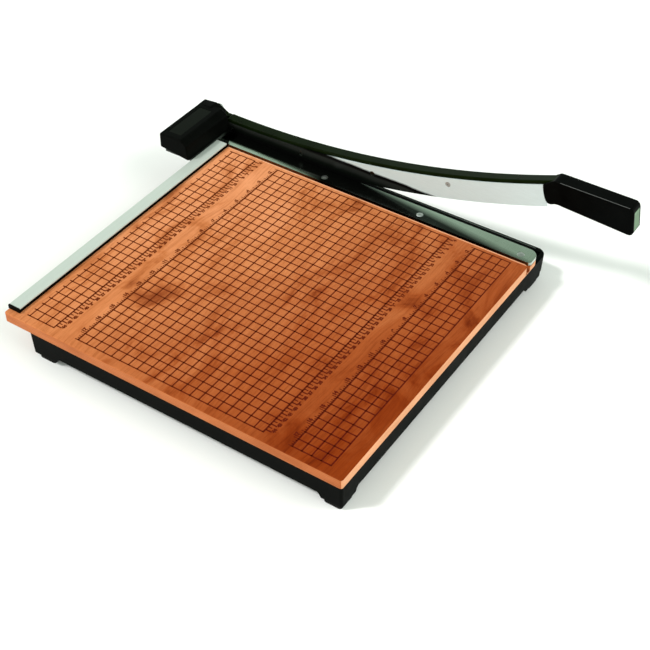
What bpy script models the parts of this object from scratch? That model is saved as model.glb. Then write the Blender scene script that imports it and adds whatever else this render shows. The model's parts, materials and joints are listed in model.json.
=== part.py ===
"""Guillotine paper cutter with an 18 inch wooden table.

Lengths are in inches and become metres where a mesh is made. Every piece is laid out in bench
axes: X = 0 is the cutting edge (X grows away from the table), Y = 0 is the front of the fence
(Y falls towards the handle) and Z = 0 is the table's top. The empty "cutter" moves all of it so
that the origin is under the middle of the whole object, on the surface that it stands on.
"""
import math

import bmesh
import bpy
from mathutils import Matrix, Vector

INCH = 0.0254
GAP = 0.012                          # 0.3 mm between pieces that touch
SINK_SLOPE = 0.6                     # depth of a countersunk head over the width of its cone

# Table
TABLE_LEFT, TABLE_RIGHT = -18.0, -0.03
TABLE_FRONT, TABLE_REAR = -18.36, 0.70
TABLE_THICK = 0.55
GROOVE_LEFT, GROOVE_RIGHT, GROOVE_DEEP = -1.22, -1.04, 0.46
GROOVE_FLARE = 0.25                  # radius of the board's corner beside the groove's front end
CORNER = 0.5                         # the rounded corner under the handle

# Bed strip, the fixed lower blade
STRIP_LEFT, STRIP_FRONT, STRIP_REAR = -1.02, -18.35, 0.68
STRIP_THICK = 0.1875
BED_SCREWS = [(-0.63, -5.94), (-0.63, -11.80), (-0.63, -17.62)]

# Base frame
FRAME_LEFT, FRAME_RIGHT = -17.95, 1.00
FRAME_FRONT, FRAME_REAR = -18.34, -0.75
FRAME_TOP = -TABLE_THICK - GAP
FRAME_EDGE = -1.55                   # lower edge between the feet
BOSS_BOTTOM = -1.86
FLOOR = -2.05
DRAFT = 0.04
WALL = 0.16
LEDGE = 0.12
CHANNEL_LEFT, CHANNEL_RIGHT = -0.12, 0.71
FRAME_CORNER = 0.14                  # the frame's two left corners
FRAME_SCREWS = [(-17.2, -15.2), (-17.2, -9.4), (-17.2, -3.6), (-9.0, -17.6), (-9.0, -1.5)]

# Fence at the rear of the table
FENCE_LEFT, FENCE_RIGHT, FENCE_DEEP = -17.58, -1.30, 0.69
FENCE_BASE_TOP, FENCE_TOP = 0.175, 0.255
FENCE_SCREWS = [-16.6, -9.4, -2.4]

# Pivot and its bracket
PIVOT_Y, PIVOT_Z = 2.00, 0.72
BRACKET_LEFT, BRACKET_RIGHT = -3.50, 0.19
PLATE_LOW, PLATE_HIGH = 0.10, 0.20
EAR_THICK = 0.15
EARS = [-3.40, -0.30]
SHAFT_RADIUS = 0.16
SHAFT_RIGHT, NUT_RIGHT = 0.88, 0.83
SPRING_RADIUS, SPRING_WIRE, SPRING_TURNS = 0.255, 0.036, 10
SPRING_LEFT, SPRING_RIGHT = -3.05, -0.84

# Housing over the pivot
HOUSING_LEFT, HOUSING_RIGHT = -3.75, -0.02
HOUSING_FRONT, HOUSING_REAR, HOUSING_TOP = 0.86, 2.66, 1.37
SKIRT_FRONT, SKIRT_LOW, SKIRT_HIGH = 0.77, 0.215, 0.45   # its lower edge rises to the rear
CHEEK_RIGHT = 0.30
SHELL = 0.08

# Arm and blade: every long edge is an arc about one centre, high above the table
ARC_Y, ARC_Z = 0.30, 50.75
ARM_RADIUS = 50.0                    # the arm's top face
FLANGE_THICK = 0.16
WEB_RADIUS = 50.86
BLADE_TOP, BLADE_EDGE = 50.19, 51.38
BLADE_LEFT, BLADE_THICK = GAP, 0.062
ARM_LEFT, ARM_RIGHT = 0.09, 0.66
WEB_THICK = 0.19
ARM_REAR, BLADE_REAR, BLADE_FRONT = 0.98, 1.00, -18.02
HUB_RADIUS, HUB_LEFT = 0.36, 0.35
BLADE_SCREWS = [(0.60, 0.17), (-3.95, 0.38), (-8.49, 0.84), (-12.95, 1.96)]

# Handle
GRIP_LEFT, GRIP_RIGHT = -0.04, 0.77
GRIP_TOP, GRIP_FRONT, GRIP_LEAN = 4.52, -22.86, 0.13
TANG_LEFT, TANG_RIGHT = 0.25, 0.50
TANG_FRONT, TANG_LOW, TANG_HIGH = -22.20, 3.46, 4.14

# Whole object
REACH_FRONT = GRIP_FRONT
ORIGIN = Vector(((TABLE_LEFT + FRAME_RIGHT) / 2, (REACH_FRONT + HOUSING_REAR) / 2, FLOOR))


def clear_scene():
    for thing in list(bpy.data.objects):
        bpy.data.objects.remove(thing, do_unlink=True)


def collection(name):
    group = bpy.data.collections.new(name)
    bpy.context.scene.collection.children.link(group)
    return group


def material(name, colour, roughness, metallic=0.0):
    made = bpy.data.materials.new(name)
    made.use_nodes = True
    shader = made.node_tree.nodes["Principled BSDF"]
    shader.inputs["Base Color"].default_value = (*colour, 1.0)
    shader.inputs["Roughness"].default_value = roughness
    shader.inputs["Metallic"].default_value = metallic
    made.diffuse_color = (*colour, 1.0)
    return made


clear_scene()
PARTS = collection("guillotine_paper_cutter")
CUTTERS = collection("cutters")

WOOD = material("oiled_wood", (0.58, 0.27, 0.10), 0.42)
BLACK = material("black_plastic", (0.012, 0.014, 0.012), 0.45)
PAINT = material("black_paint", (0.015, 0.020, 0.014), 0.32)
STEEL = material("polished_steel", (0.62, 0.64, 0.61), 0.18, 1.0)
ZINC = material("zinc_steel", (0.45, 0.46, 0.46), 0.38, 1.0)
ALUMINIUM = material("aluminium", (0.80, 0.82, 0.81), 0.30, 1.0)
RUBBER = material("rubber", (0.010, 0.010, 0.010), 0.85)
BRONZE = material("bronze", (0.55, 0.38, 0.16), 0.40, 1.0)
PLUG = material("grey_green_plastic", (0.17, 0.24, 0.17), 0.50)


def empty(name, place, parent=None):
    made = bpy.data.objects.new(name, None)
    made.location = place
    made.parent = parent
    PARTS.objects.link(made)
    return made


CUTTER = empty("cutter", -ORIGIN * INCH)
ARM_PIVOT = empty("arm_pivot", Vector((0, PIVOT_Y, PIVOT_Z)) * INCH, CUTTER)


def finish(made, place, surface, parent, turn=None):
    """Puts an object, laid out in bench axes, under its parent with its own material."""
    origin = Vector((0, 0, 0)) if parent is CUTTER or parent is None else parent.location
    made.location = Vector(place) * INCH - origin
    if turn is not None:
        made.rotation_euler = turn
    made.parent = parent
    if surface is None:
        made.hide_render = True
        made.display_type = "WIRE"
        CUTTERS.objects.link(made)
    else:
        made.data.materials.clear()
        made.data.materials.append(surface)
        PARTS.objects.link(made)
    return made


def bevel(made, width, segments=2):
    modifier = made.modifiers.new("edges", "BEVEL")
    modifier.width = width * INCH
    modifier.segments = segments
    modifier.limit_method = "ANGLE"
    modifier.angle_limit = math.radians(40)
    return made


def boolean(made, other, operation="DIFFERENCE"):
    modifier = made.modifiers.new(operation.lower(), "BOOLEAN")
    modifier.operation = operation
    modifier.solver = "EXACT"
    modifier.object = other
    return made


def smooth(made, angle=30):
    made.data.shade_smooth()
    made.data.set_sharp_from_angle(angle=math.radians(angle))
    return made


def box(name, low, high, surface, parent=CUTTER):
    """A block between two bench corners, its origin at its middle."""
    mesh = bpy.data.meshes.new(name)
    shape = bmesh.new()
    bmesh.ops.create_cube(shape, size=1.0)
    size = [(b - a) * INCH for a, b in zip(low, high)]
    bmesh.ops.scale(shape, vec=size, verts=shape.verts)
    shape.to_mesh(mesh)
    shape.free()
    middle = [(a + b) / 2 for a, b in zip(low, high)]
    return finish(bpy.data.objects.new(name, mesh), middle, surface, parent)


def rod(name, place, axis, radius, length, surface=None, parent=CUTTER, sides=20):
    """A round bar centred on a bench point, along X, Y or Z."""
    mesh = bpy.data.meshes.new(name)
    shape = bmesh.new()
    bmesh.ops.create_cone(shape, cap_ends=True, segments=sides, radius1=radius * INCH,
                          radius2=radius * INCH, depth=length * INCH)
    shape.to_mesh(mesh)
    shape.free()
    turn = {"X": (0, math.pi / 2, 0), "Y": (math.pi / 2, 0, 0), "Z": (0, 0, 0)}[axis]
    return finish(bpy.data.objects.new(name, mesh), place, surface, parent, turn)


# An outline's plane, as the turn that lays a flat curve in it
PLAN = (0, 0, 0)                                 # outline points are (X, Y), thickness along Z
SIDE = (math.pi / 2, 0, math.pi / 2)             # outline points are (Y, Z), thickness along X
FRONT = (math.pi / 2, 0, 0)                      # outline points are (X, Z), thickness along -Y


def slab(name, outline, plane, low, high, surface, parent=CUTTER):
    """A flat outline given a thickness from low to high, as a welded mesh."""
    curve = bpy.data.curves.new(name, "CURVE")
    curve.dimensions = "2D"
    curve.fill_mode = "BOTH"
    curve.extrude = (high - low) / 2 * INCH
    spline = curve.splines.new("POLY")
    spline.points.add(len(outline) - 1)
    for point, (u, v) in zip(spline.points, outline):
        point.co = (u * INCH, v * INCH, 0, 1)
    spline.use_cyclic_u = True
    flat = bpy.data.objects.new(name + "_outline", curve)
    bpy.context.scene.collection.objects.link(flat)
    bpy.context.view_layer.update()
    solid = bpy.data.meshes.new_from_object(flat.evaluated_get(bpy.context.evaluated_depsgraph_get()))
    bpy.data.objects.remove(flat, do_unlink=True)
    shape = bmesh.new()
    shape.from_mesh(solid)
    bmesh.ops.remove_doubles(shape, verts=shape.verts, dist=1e-6)
    bmesh.ops.recalc_face_normals(shape, faces=shape.faces)
    bmesh.ops.dissolve_limit(shape, angle_limit=math.radians(0.5), verts=shape.verts,
                             edges=shape.edges)
    shape.to_mesh(solid)
    shape.free()
    solid.name = name
    middle = (low + high) / 2
    place = {PLAN: (0, 0, middle), SIDE: (middle, 0, 0), FRONT: (0, middle, 0)}[plane]
    return finish(bpy.data.objects.new(name, solid), place, surface, parent, plane)


def turned(name, profile, place, direction, surface, parent=CUTTER, sides=20):
    """A profile of (radius, height) points turned about an axis. It starts at the top of the
    outer side and runs down it."""
    mesh = bpy.data.meshes.new(name)
    points = [(radius * INCH, 0, height * INCH) for radius, height in profile]
    closed = profile[0][0] > 0 and profile[-1][0] > 0
    edges = [(i, i + 1) for i in range(len(points) - 1)]
    if closed:
        edges.append((len(points) - 1, 0))
    mesh.from_pydata(points, edges, [])
    made = bpy.data.objects.new(name, mesh)
    screw = made.modifiers.new("turn", "SCREW")
    screw.axis = "Z"
    screw.steps = screw.render_steps = sides
    screw.use_merge_vertices = True
    screw.merge_threshold = 0.00002
    screw.use_smooth_shade = False
    turn = Vector((0, 0, 1)).rotation_difference(Vector(direction)).to_euler()
    return finish(made, place, surface, parent, turn)


def arc(middle, radius, start, end, steps):
    """Points on a circle between two angles in degrees, both ends included."""
    angles = [math.radians(start + (end - start) * i / steps) for i in range(steps + 1)]
    return [(middle[0] + radius * math.cos(a), middle[1] + radius * math.sin(a)) for a in angles]


def rounded_plan(left, right, front, rear, radii, steps=5):
    """A rectangle with rounded corners; radii run front left, front right, rear right, rear left."""
    fl, fr, rr, rl = radii
    return (arc((left + fl, front + fl), fl, 180, 270, steps)
            + arc((right - fr, front + fr), fr, 270, 360, steps)
            + arc((right - rr, rear - rr), rr, 0, 90, steps)
            + arc((left + rl, rear - rl), rl, 90, 180, steps))


def on_arc(radius, y):
    """The height at which an arc of the arm passes over a place along the table."""
    return ARC_Z - math.sqrt(radius ** 2 - (y - ARC_Y) ** 2)


def arc_band(top, bottom, rear, front, steps=14, lean=0.0):
    """The outline of a curved strip between two arcs; lean carries its lower front corner on."""
    ends = [rear + (front - rear) * i / steps for i in range(steps + 1)]
    low_ends = [rear + (front - lean - rear) * i / steps for i in range(steps + 1)]
    upper = [(y, on_arc(top, y)) for y in ends]
    lower = [(y, on_arc(bottom, y)) for y in reversed(low_ends)]
    return upper + lower


def screw(name, place, direction, head, shank, length, surface=ZINC, parent=CUTTER, flat=True):
    """A wood or machine screw whose head faces direction: countersunk when flat, else domed.
    place is where its head meets the surface. The head has a cross recess."""
    if flat:
        profile = [(0, -0.006), (head, -0.006), (shank, -(head - shank) * SINK_SLOPE - 0.006)]
        recess_floor = -0.045
    else:
        profile = [(0, 0.085), (head * 0.62, 0.080), (head * 0.94, 0.045), (head, 0.004), (shank, 0.004)]
        recess_floor = 0.035
    profile += [(shank, -length + shank), (0, -length)]
    made = turned(name, profile, place, direction, surface, parent, sides=16)
    for turn in (0, math.pi / 2):
        mesh = bpy.data.meshes.new(name + "_slot")
        shape = bmesh.new()
        bmesh.ops.create_cube(shape, size=1.0)
        bmesh.ops.scale(shape, vec=(head * 1.15 * INCH, 0.034 * INCH, 0.2 * INCH), verts=shape.verts)
        shape.to_mesh(mesh)
        shape.free()
        slot = bpy.data.objects.new(name + "_slot", mesh)
        matrix = made.rotation_euler.to_matrix()
        offset = matrix @ Vector((0, 0, recess_floor + 0.1))
        finish(slot, Vector(place) + offset, None, parent)
        slot.rotation_euler = (matrix @ Matrix.Rotation(turn, 3, "Z")).to_euler()
        boolean(made, slot)
    return made


def countersink(name, place, direction, head, shank, length, parent=CUTTER):
    """The hole that a countersunk screw sits in."""
    wide, narrow = head + GAP, shank + GAP
    profile = [(0, 0.02), (wide, 0.02), (wide, -0.006), (narrow, -(head - shank) * SINK_SLOPE - 0.006),
               (narrow, -length), (0, -length)]
    return turned(name, profile, place, direction, None, parent, sides=20)


def make_table():
    radii = (0.14, CORNER, 0.10, 0.14)
    outline = rounded_plan(TABLE_LEFT, TABLE_RIGHT, TABLE_FRONT, TABLE_REAR, radii)
    table = slab("wood_table", outline, PLAN, -TABLE_THICK, 0, WOOD)
    bevel(table, 0.06, 2)
    flare = arc((GROOVE_LEFT - GROOVE_FLARE, TABLE_FRONT + GROOVE_FLARE), GROOVE_FLARE, 0, -90, 5)
    groove = [(GROOVE_RIGHT + 0.02, 1), (GROOVE_LEFT, 1)] + flare + [(GROOVE_LEFT - GROOVE_FLARE, -19), (GROOVE_RIGHT + 0.02, -19)]
    boolean(table, slab("table_groove", groove, PLAN, -GROOVE_DEEP, 0.2, None))
    boolean(table, box("table_rebate", (GROOVE_RIGHT, -19, -STRIP_THICK - GAP), (0.2, 1, 0.2), None))
    for number, (x, y) in enumerate(BED_SCREWS, 1):
        boolean(table, rod(f"table_bed_hole_{number}", (x, y, -0.4), "Z", 0.095 + GAP, 1.2, sides=16))
    for number, x in enumerate(FENCE_SCREWS, 1):
        boolean(table, rod(f"table_fence_hole_{number}", (x, 0.35, -0.3), "Z", 0.075 + GAP, 1.2, sides=16))
        boolean(table, rod(f"table_fence_sink_{number}", (x, 0.35, -TABLE_THICK), "Z", 0.17, 0.26, sides=16))
    for number, (x, y) in enumerate(FRAME_SCREWS, 1):
        boolean(table, rod(f"table_frame_hole_{number}", (x, y, -TABLE_THICK), "Z", 0.07 + GAP, 0.76, sides=16))
    for number, x in enumerate((-3.1, -1.9, -0.7), 1):
        boolean(table, rod(f"table_bracket_hole_{number}", (x, TABLE_REAR, -0.30), "Y", 0.07 + GAP, 1.5, sides=16))


def make_bed_strip():
    outline = rounded_plan(STRIP_LEFT, 0, STRIP_FRONT, STRIP_REAR, (0.16, CORNER, 0.03, 0.03))
    strip = slab("bed_strip", outline, PLAN, -STRIP_THICK, 0, STEEL)
    for number, (x, y) in enumerate(BED_SCREWS, 1):
        boolean(strip, countersink(f"strip_sink_{number}", (x, y, 0), (0, 0, 1), 0.185, 0.095, 0.4))
        screw(f"bed_screw_{number}", (x, y, 0), (0, 0, 1), 0.185, 0.095, 0.92)


def make_base_frame():
    outline = rounded_plan(FRAME_LEFT, FRAME_RIGHT, FRAME_FRONT, FRAME_REAR, (FRAME_CORNER, CORNER, CORNER, FRAME_CORNER))
    frame = slab("base_frame", outline, PLAN, BOSS_BOTTOM, FRAME_TOP, BLACK)
    middle = (FRAME_TOP + BOSS_BOTTOM) / 2
    centre = Vector(((FRAME_LEFT + FRAME_RIGHT) / 2, (FRAME_FRONT + FRAME_REAR) / 2, 0)) * INCH
    shrink = 1 - 2 * DRAFT / (FRAME_RIGHT - FRAME_LEFT)
    for vertex in frame.data.vertices:
        if vertex.co.z < 0:
            vertex.co.xy = centre.xy + (vertex.co.xy - centre.xy) * shrink
    assert abs(frame.location.z - middle * INCH) < 1e-6
    bevel(frame, 0.05, 2)
    under = BOSS_BOTTOM - 0.1
    along = [(-17.05, FRAME_EDGE), (-17.25, under), (-2.20, under), (-2.40, FRAME_EDGE)]
    across = [(-16.60, FRAME_EDGE), (-16.80, under), (-1.00, under), (-1.20, FRAME_EDGE)]
    boolean(frame, slab("frame_side_relief", along, SIDE, -19, 2, None))
    boolean(frame, slab("frame_end_relief", across, FRONT, -19, 1, None))
    boolean(frame, box("frame_rim_relief", (0.45, -19, under), (1.5, 1, FRAME_EDGE), None))
    inner = FRAME_LEFT + WALL
    rail = CHANNEL_LEFT - 0.18
    boolean(frame, box("frame_cavity", (inner, FRAME_FRONT + WALL, -1.66), (rail, FRAME_REAR - WALL, FRAME_TOP - LEDGE), None))
    boolean(frame, box("frame_window", (-16.7, -17.1, under), (-1.5, -2.0, 0), None))
    boolean(frame, box("frame_channel", (CHANNEL_LEFT, -18.10, -1.66), (CHANNEL_RIGHT, FRAME_REAR - 0.2, 0), None))
    boolean(frame, box("frame_channel_mouth", (CHANNEL_LEFT, -1.4, -1.25), (CHANNEL_RIGHT, 0, 0), None))
    boolean(frame, box("frame_rim_line", (0.84, -17.75, FRAME_TOP - 0.05), (0.885, -1.2, 0), None))
    for number, (x, y) in enumerate(FRAME_SCREWS, 1):
        boolean(frame, rod(f"frame_hole_{number}", (x, y, FRAME_TOP), "Z", 0.07 + GAP, 0.6, sides=16))
        head = (x, y, FRAME_TOP - LEDGE)
        screw(f"frame_screw_{number}", head, (0, 0, -1), 0.15, 0.07, 0.45, flat=False)
    for number, (x, y) in enumerate(BED_SCREWS, 1):
        boolean(frame, rod(f"frame_bed_hole_{number}", (x, y, FRAME_TOP), "Z", 0.095 + GAP, 0.6, sides=16))


def make_feet():
    top = BOSS_BOTTOM - GAP
    places = {"front_left": (-17.86, -16.90, -18.24, -17.32), "rear_left": (-17.86, -16.90, -2.05, -1.09),
              "front_right": (-0.58, 0.38, -18.24, -17.32), "rear_right": (-0.58, 0.38, -2.05, -1.09)}
    for name, (left, right, front, rear) in places.items():
        outline = rounded_plan(left, right, front, rear, (0.12,) * 4, steps=3)
        bevel(slab(f"foot_{name}", outline, PLAN, FLOOR, top, RUBBER), 0.03, 1)


def make_fence():
    base = box("fence_base", (FENCE_LEFT, 0, GAP), (FENCE_RIGHT, FENCE_DEEP, FENCE_BASE_TOP), BLACK)
    bevel(base, 0.015, 1)
    rule = box("fence_rule", (FENCE_LEFT, 0.02, FENCE_BASE_TOP + GAP), (FENCE_RIGHT, FENCE_DEEP, FENCE_TOP), ALUMINIUM)
    bevel(rule, 0.02, 2)
    for number, x in enumerate(FENCE_SCREWS, 1):
        boolean(base, rod(f"fence_hole_{number}", (x, 0.35, 0), "Z", 0.075 + GAP, 0.3, sides=16))
        screw(f"fence_screw_{number}", (x, 0.35, -TABLE_THICK + 0.13), (0, 0, -1), 0.14, 0.075, 0.56, flat=False)
    for name, left in (("left", FENCE_LEFT - 0.07 - GAP), ("right", FENCE_RIGHT + GAP)):
        cap = box(f"fence_cap_{name}", (left, -0.02, GAP), (left + 0.07, FENCE_DEEP + 0.01, FENCE_TOP + 0.015), BLACK)
        bevel(cap, 0.02, 2)


def make_bracket():
    """A bent steel plate: one leg screwed to the table's rear edge, the other under the housing,
    with two ears that carry the pivot shaft."""
    table_side = TABLE_REAR + GAP
    profile = [(table_side, -0.50), (table_side, PLATE_HIGH - 0.08), (table_side + 0.08, PLATE_HIGH),
               (2.50, PLATE_HIGH), (2.50, PLATE_LOW), (table_side + 0.15, PLATE_LOW),
               (table_side + 0.10, PLATE_LOW - 0.05), (table_side + 0.10, -0.50)]
    bracket = slab("pivot_bracket", profile, SIDE, BRACKET_LEFT, BRACKET_RIGHT, ZINC)
    ear = ([(PIVOT_Y - 0.40, PLATE_HIGH - 0.06), (PIVOT_Y + 0.40, PLATE_HIGH - 0.06)]
           + arc((PIVOT_Y, PIVOT_Z), 0.34, 0, 180, 8))
    for number, left in enumerate(EARS, 1):
        wall = slab(f"bracket_ear_{number}", ear, SIDE, left, left + EAR_THICK, None)
        boolean(bracket, wall, "UNION")
        middle = left + EAR_THICK / 2
        boolean(bracket, rod(f"ear_bore_{number}", (middle, PIVOT_Y, PIVOT_Z), "X", 0.22 + GAP, 0.5))
        sleeve = [(0.29, EAR_THICK + 0.055), (0.29, EAR_THICK + GAP), (0.22, EAR_THICK + GAP), (0.22, 0.01),
                  (SHAFT_RADIUS + GAP, 0.01), (SHAFT_RADIUS + GAP, EAR_THICK + 0.055)]
        turned(f"pivot_bushing_{number}", sleeve, (left, PIVOT_Y, PIVOT_Z), (1, 0, 0), BRONZE)
    boolean(bracket, box("bracket_blade_relief", (-0.02, 0, -1), (0.5, 1.25, 1), None))
    for number, x in enumerate((-3.1, -1.9, -0.7), 1):
        boolean(bracket, rod(f"bracket_hole_{number}", (x, table_side, -0.30), "Y", 0.07 + GAP, 0.6, sides=16))
        place = (x, table_side + 0.10, -0.30)
        screw(f"bracket_screw_{number}", place, (0, 1, 0), 0.15, 0.07, 0.72, flat=False)
    for number, x in enumerate((-2.9, -0.8), 1):
        boolean(bracket, rod(f"bracket_cover_hole_{number}", (x, 1.40, PLATE_LOW), "Z", 0.06 + GAP, 0.6, sides=16))
        screw(f"cover_screw_{number}", (x, 1.40, PLATE_LOW), (0, 0, -1), 0.13, 0.06, 0.42, flat=False)


def make_shaft():
    """The shaft turns with the arm; the torsion spring winds between it and the bracket."""
    left, right = EARS[0] - 0.16, SHAFT_RIGHT
    length = right - left
    end = SHAFT_RADIUS - 0.03
    profile = [(0, length), (end, length), (SHAFT_RADIUS, length - 0.03), (SHAFT_RADIUS, 0.07), (0.12, 0.07),
               (0.12, 0.035), (SHAFT_RADIUS, 0.035), (SHAFT_RADIUS, 0.01), (end, 0), (0, 0)]
    turned("pivot_shaft", profile, (left, PIVOT_Y, PIVOT_Z), (1, 0, 0), STEEL, ARM_PIVOT, sides=24)
    clip = slab("shaft_clip", arc((PIVOT_Y, PIVOT_Z), 0.27, -60, 240, 12)
                + arc((PIVOT_Y, PIVOT_Z), 0.12 + GAP, 240, -60, 12), SIDE, left + 0.04, left + 0.065, ZINC, ARM_PIVOT)
    smooth(clip)
    collar = [(0.30, 0.22), (0.30, 0), (SHAFT_RADIUS + GAP, 0), (SHAFT_RADIUS + GAP, 0.22)]
    turned("spring_collar", collar, (SPRING_RIGHT + 0.09, PIVOT_Y, PIVOT_Z), (1, 0, 0), ZINC, ARM_PIVOT)
    wave = [(0.30, 0.030), (0.30, 0), (SHAFT_RADIUS + GAP, 0), (SHAFT_RADIUS + GAP, 0.030)]
    turned("wave_washer", wave, (CHEEK_RIGHT + 0.010, PIVOT_Y, PIVOT_Z), (1, 0, 0), ZINC)
    turned("hub_washer", wave, (ARM_RIGHT + GAP, PIVOT_Y, PIVOT_Z), (1, 0, 0), ZINC, ARM_PIVOT)
    six = arc((PIVOT_Y, PIVOT_Z), 0.27, 0, 300, 5)
    nut = slab("pivot_nut", six, SIDE, ARM_RIGHT + 0.055, NUT_RIGHT, ZINC, ARM_PIVOT)
    boolean(nut, rod("nut_bore", (0.75, PIVOT_Y, PIVOT_Z), "X", SHAFT_RADIUS + GAP, 1, parent=ARM_PIVOT, sides=24))


def make_spring():
    steps = 12
    curve = bpy.data.curves.new("torsion_spring", "CURVE")
    curve.dimensions = "3D"
    curve.bevel_depth = SPRING_WIRE * INCH
    curve.bevel_resolution = 2
    curve.use_fill_caps = True
    turns = SPRING_TURNS * steps
    pitch = (SPRING_RIGHT - SPRING_LEFT) / turns
    coil = []
    for i in range(turns + 1):
        angle = 2 * math.pi * i / steps
        coil.append((SPRING_LEFT + pitch * i, PIVOT_Y + SPRING_RADIUS * math.cos(angle),
                     PIVOT_Z + SPRING_RADIUS * math.sin(angle)))
    leg = [(SPRING_LEFT, PIVOT_Y + SPRING_RADIUS, PLATE_HIGH + SPRING_WIRE + GAP)]
    points = leg + coil
    spline = curve.splines.new("POLY")
    spline.points.add(len(points) - 1)
    for point, place in zip(spline.points, points):
        point.co = (*(Vector(place) * INCH), 1)
    finish(bpy.data.objects.new("torsion_spring", curve), (0, 0, 0), STEEL, CUTTER)


def housing_shell(name, outline, left, right):
    """An extruded cover, open underneath, with a wall of even thickness."""
    cover = slab(name, outline, SIDE, left, right, BLACK)
    shape = bmesh.new()
    shape.from_mesh(cover.data)
    sides = [edge for edge in shape.edges if edge.calc_face_angle(0) > math.radians(25)
             and not all(v.co.y < 0.6 * INCH for v in edge.verts)]
    bmesh.ops.bevel(shape, geom=sides, offset=0.11 * INCH, segments=2, profile=0.5, affect="EDGES")
    bottom = [face for face in shape.faces if face.normal.y < -0.9 and face.calc_center_median().y < 0.6 * INCH]
    bmesh.ops.delete(shape, geom=bottom, context="FACES")
    shape.to_mesh(cover.data)
    shape.free()
    wall = cover.modifiers.new("wall", "SOLIDIFY")
    wall.thickness = SHELL * INCH
    wall.offset = -1
    wall.use_even_offset = True
    return cover


def make_housing():
    outline = [(SKIRT_FRONT, SKIRT_LOW), (HOUSING_REAR, SKIRT_HIGH), (HOUSING_REAR, HOUSING_TOP - 0.04),
               (1.20, HOUSING_TOP), (HOUSING_FRONT, 1.12)]
    cover = housing_shell("housing_cover", outline, HOUSING_LEFT, HOUSING_RIGHT)
    low = SKIRT_LOW + (SKIRT_HIGH - SKIRT_LOW) * (1.20 - SKIRT_FRONT) / (HOUSING_REAR - SKIRT_FRONT)
    cheek = [(1.20, low), (HOUSING_REAR, SKIRT_HIGH), (HOUSING_REAR, HOUSING_TOP - 0.05),
             (1.82, HOUSING_TOP + 0.04), (1.20, 1.12)]
    outer = slab("housing_cheek", cheek, SIDE, -0.30, CHEEK_RIGHT, None)
    bevel(outer, 0.05, 2)
    boolean(cover, outer, "UNION")
    hollow = [(1.20 + SHELL, low - 0.2), (HOUSING_REAR - SHELL, low - 0.2), (HOUSING_REAR - SHELL, HOUSING_TOP - 0.14),
              (1.82, HOUSING_TOP - 0.05), (1.20 + SHELL, 1.08)]
    boolean(cover, slab("cheek_hollow", hollow, SIDE, -0.35, CHEEK_RIGHT - SHELL, None))
    for number, x in enumerate((-2.9, -0.8), 1):
        foot, head = PLATE_HIGH + GAP, HOUSING_TOP - 0.08
        post = rod(f"cover_post_{number}", (x, 1.40, (foot + head) / 2), "Z", 0.15, head - foot, sides=16)
        boolean(cover, post, "UNION")
        boolean(cover, rod(f"cover_post_hole_{number}", (x, 1.40, 0.5), "Z", 0.06 + GAP, 0.6, sides=16))
    boolean(cover, rod("cheek_bore", (CHEEK_RIGHT, PIVOT_Y, PIVOT_Z), "X", SHAFT_RADIUS + GAP, 0.6))
    slope = -0.04 / (HOUSING_REAR - 1.20)
    tilt = (math.atan(slope), 0, 0)
    middle = (-1.94, 1.93, HOUSING_TOP + slope * (1.93 - 1.20))
    pocket = box("label_pocket", (-3.34, 1.50, middle[2] - 0.04), (-0.54, 2.36, middle[2] + 0.2), None)
    pocket.rotation_euler = tilt
    boolean(cover, pocket)
    plate = box("label_plate", (-3.32, 1.52, middle[2] - 0.028), (-0.56, 2.34, middle[2] - 0.010), PAINT)
    plate.rotation_euler = tilt


def make_arm():
    """A flange and a web along one arc, joined behind to a hub that clears the housing, and in
    front to a tang inside the handle."""
    front = -18.55
    flange = arc_band(ARM_RADIUS, ARM_RADIUS + FLANGE_THICK, ARM_REAR, front, 18)
    arm = slab("blade_arm", flange, SIDE, ARM_LEFT, ARM_RIGHT, PAINT, ARM_PIVOT)
    bevel(arm, 0.035, 2)
    web = slab("arm_web", arc_band(ARM_RADIUS + 0.08, WEB_RADIUS, ARM_REAR, -18.30, 18), SIDE,
               ARM_LEFT, ARM_LEFT + WEB_THICK, None, ARM_PIVOT)
    neck_low = on_arc(WEB_RADIUS, 0.4)
    neck = [(0.20, neck_low), (0.20, 0.70), (1.30, 0.72)] + arc((PIVOT_Y, PIVOT_Z), HUB_RADIUS, 118, -100, 14)
    neck += [(1.10, neck_low)]
    hub = slab("arm_neck", neck, SIDE, HUB_LEFT, ARM_RIGHT - 0.001, None, ARM_PIVOT)
    root = slab("arm_root", [(0.22, neck_low + 0.01), (0.22, 0.69), (0.97, 0.69), (0.97, neck_low + 0.01)], SIDE,
                ARM_LEFT + 0.002, ARM_RIGHT - 0.03, None, ARM_PIVOT)
    tang = slab("arm_tang", [(-17.9, on_arc(ARM_RADIUS + 0.1, -17.9)), (-18.6, TANG_HIGH), (TANG_FRONT, TANG_HIGH),
                             (TANG_FRONT, TANG_LOW), (-18.9, TANG_LOW), (-17.9, 3.35)], SIDE,
                TANG_LEFT, TANG_RIGHT, None, ARM_PIVOT)
    for piece in (web, hub, root, tang):
        boolean(arm, piece, "UNION")
    boolean(arm, rod("hub_bore", (0.5, PIVOT_Y, PIVOT_Z), "X", SHAFT_RADIUS + GAP, 1, parent=ARM_PIVOT, sides=24))
    for number, (y, z) in enumerate(BLADE_SCREWS, 1):
        hole = rod(f"web_hole_{number}", (0.2, y, z), "X", 0.07 + GAP, 0.62, parent=ARM_PIVOT, sides=16)
        boolean(arm, hole)
    for number, y in enumerate((-19.7, -21.6), 1):
        boolean(arm, rod(f"tang_hole_{number}", (0.4, y, 3.80), "X", 0.07 + GAP, 1, parent=ARM_PIVOT, sides=16))
    smooth(arm)


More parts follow.
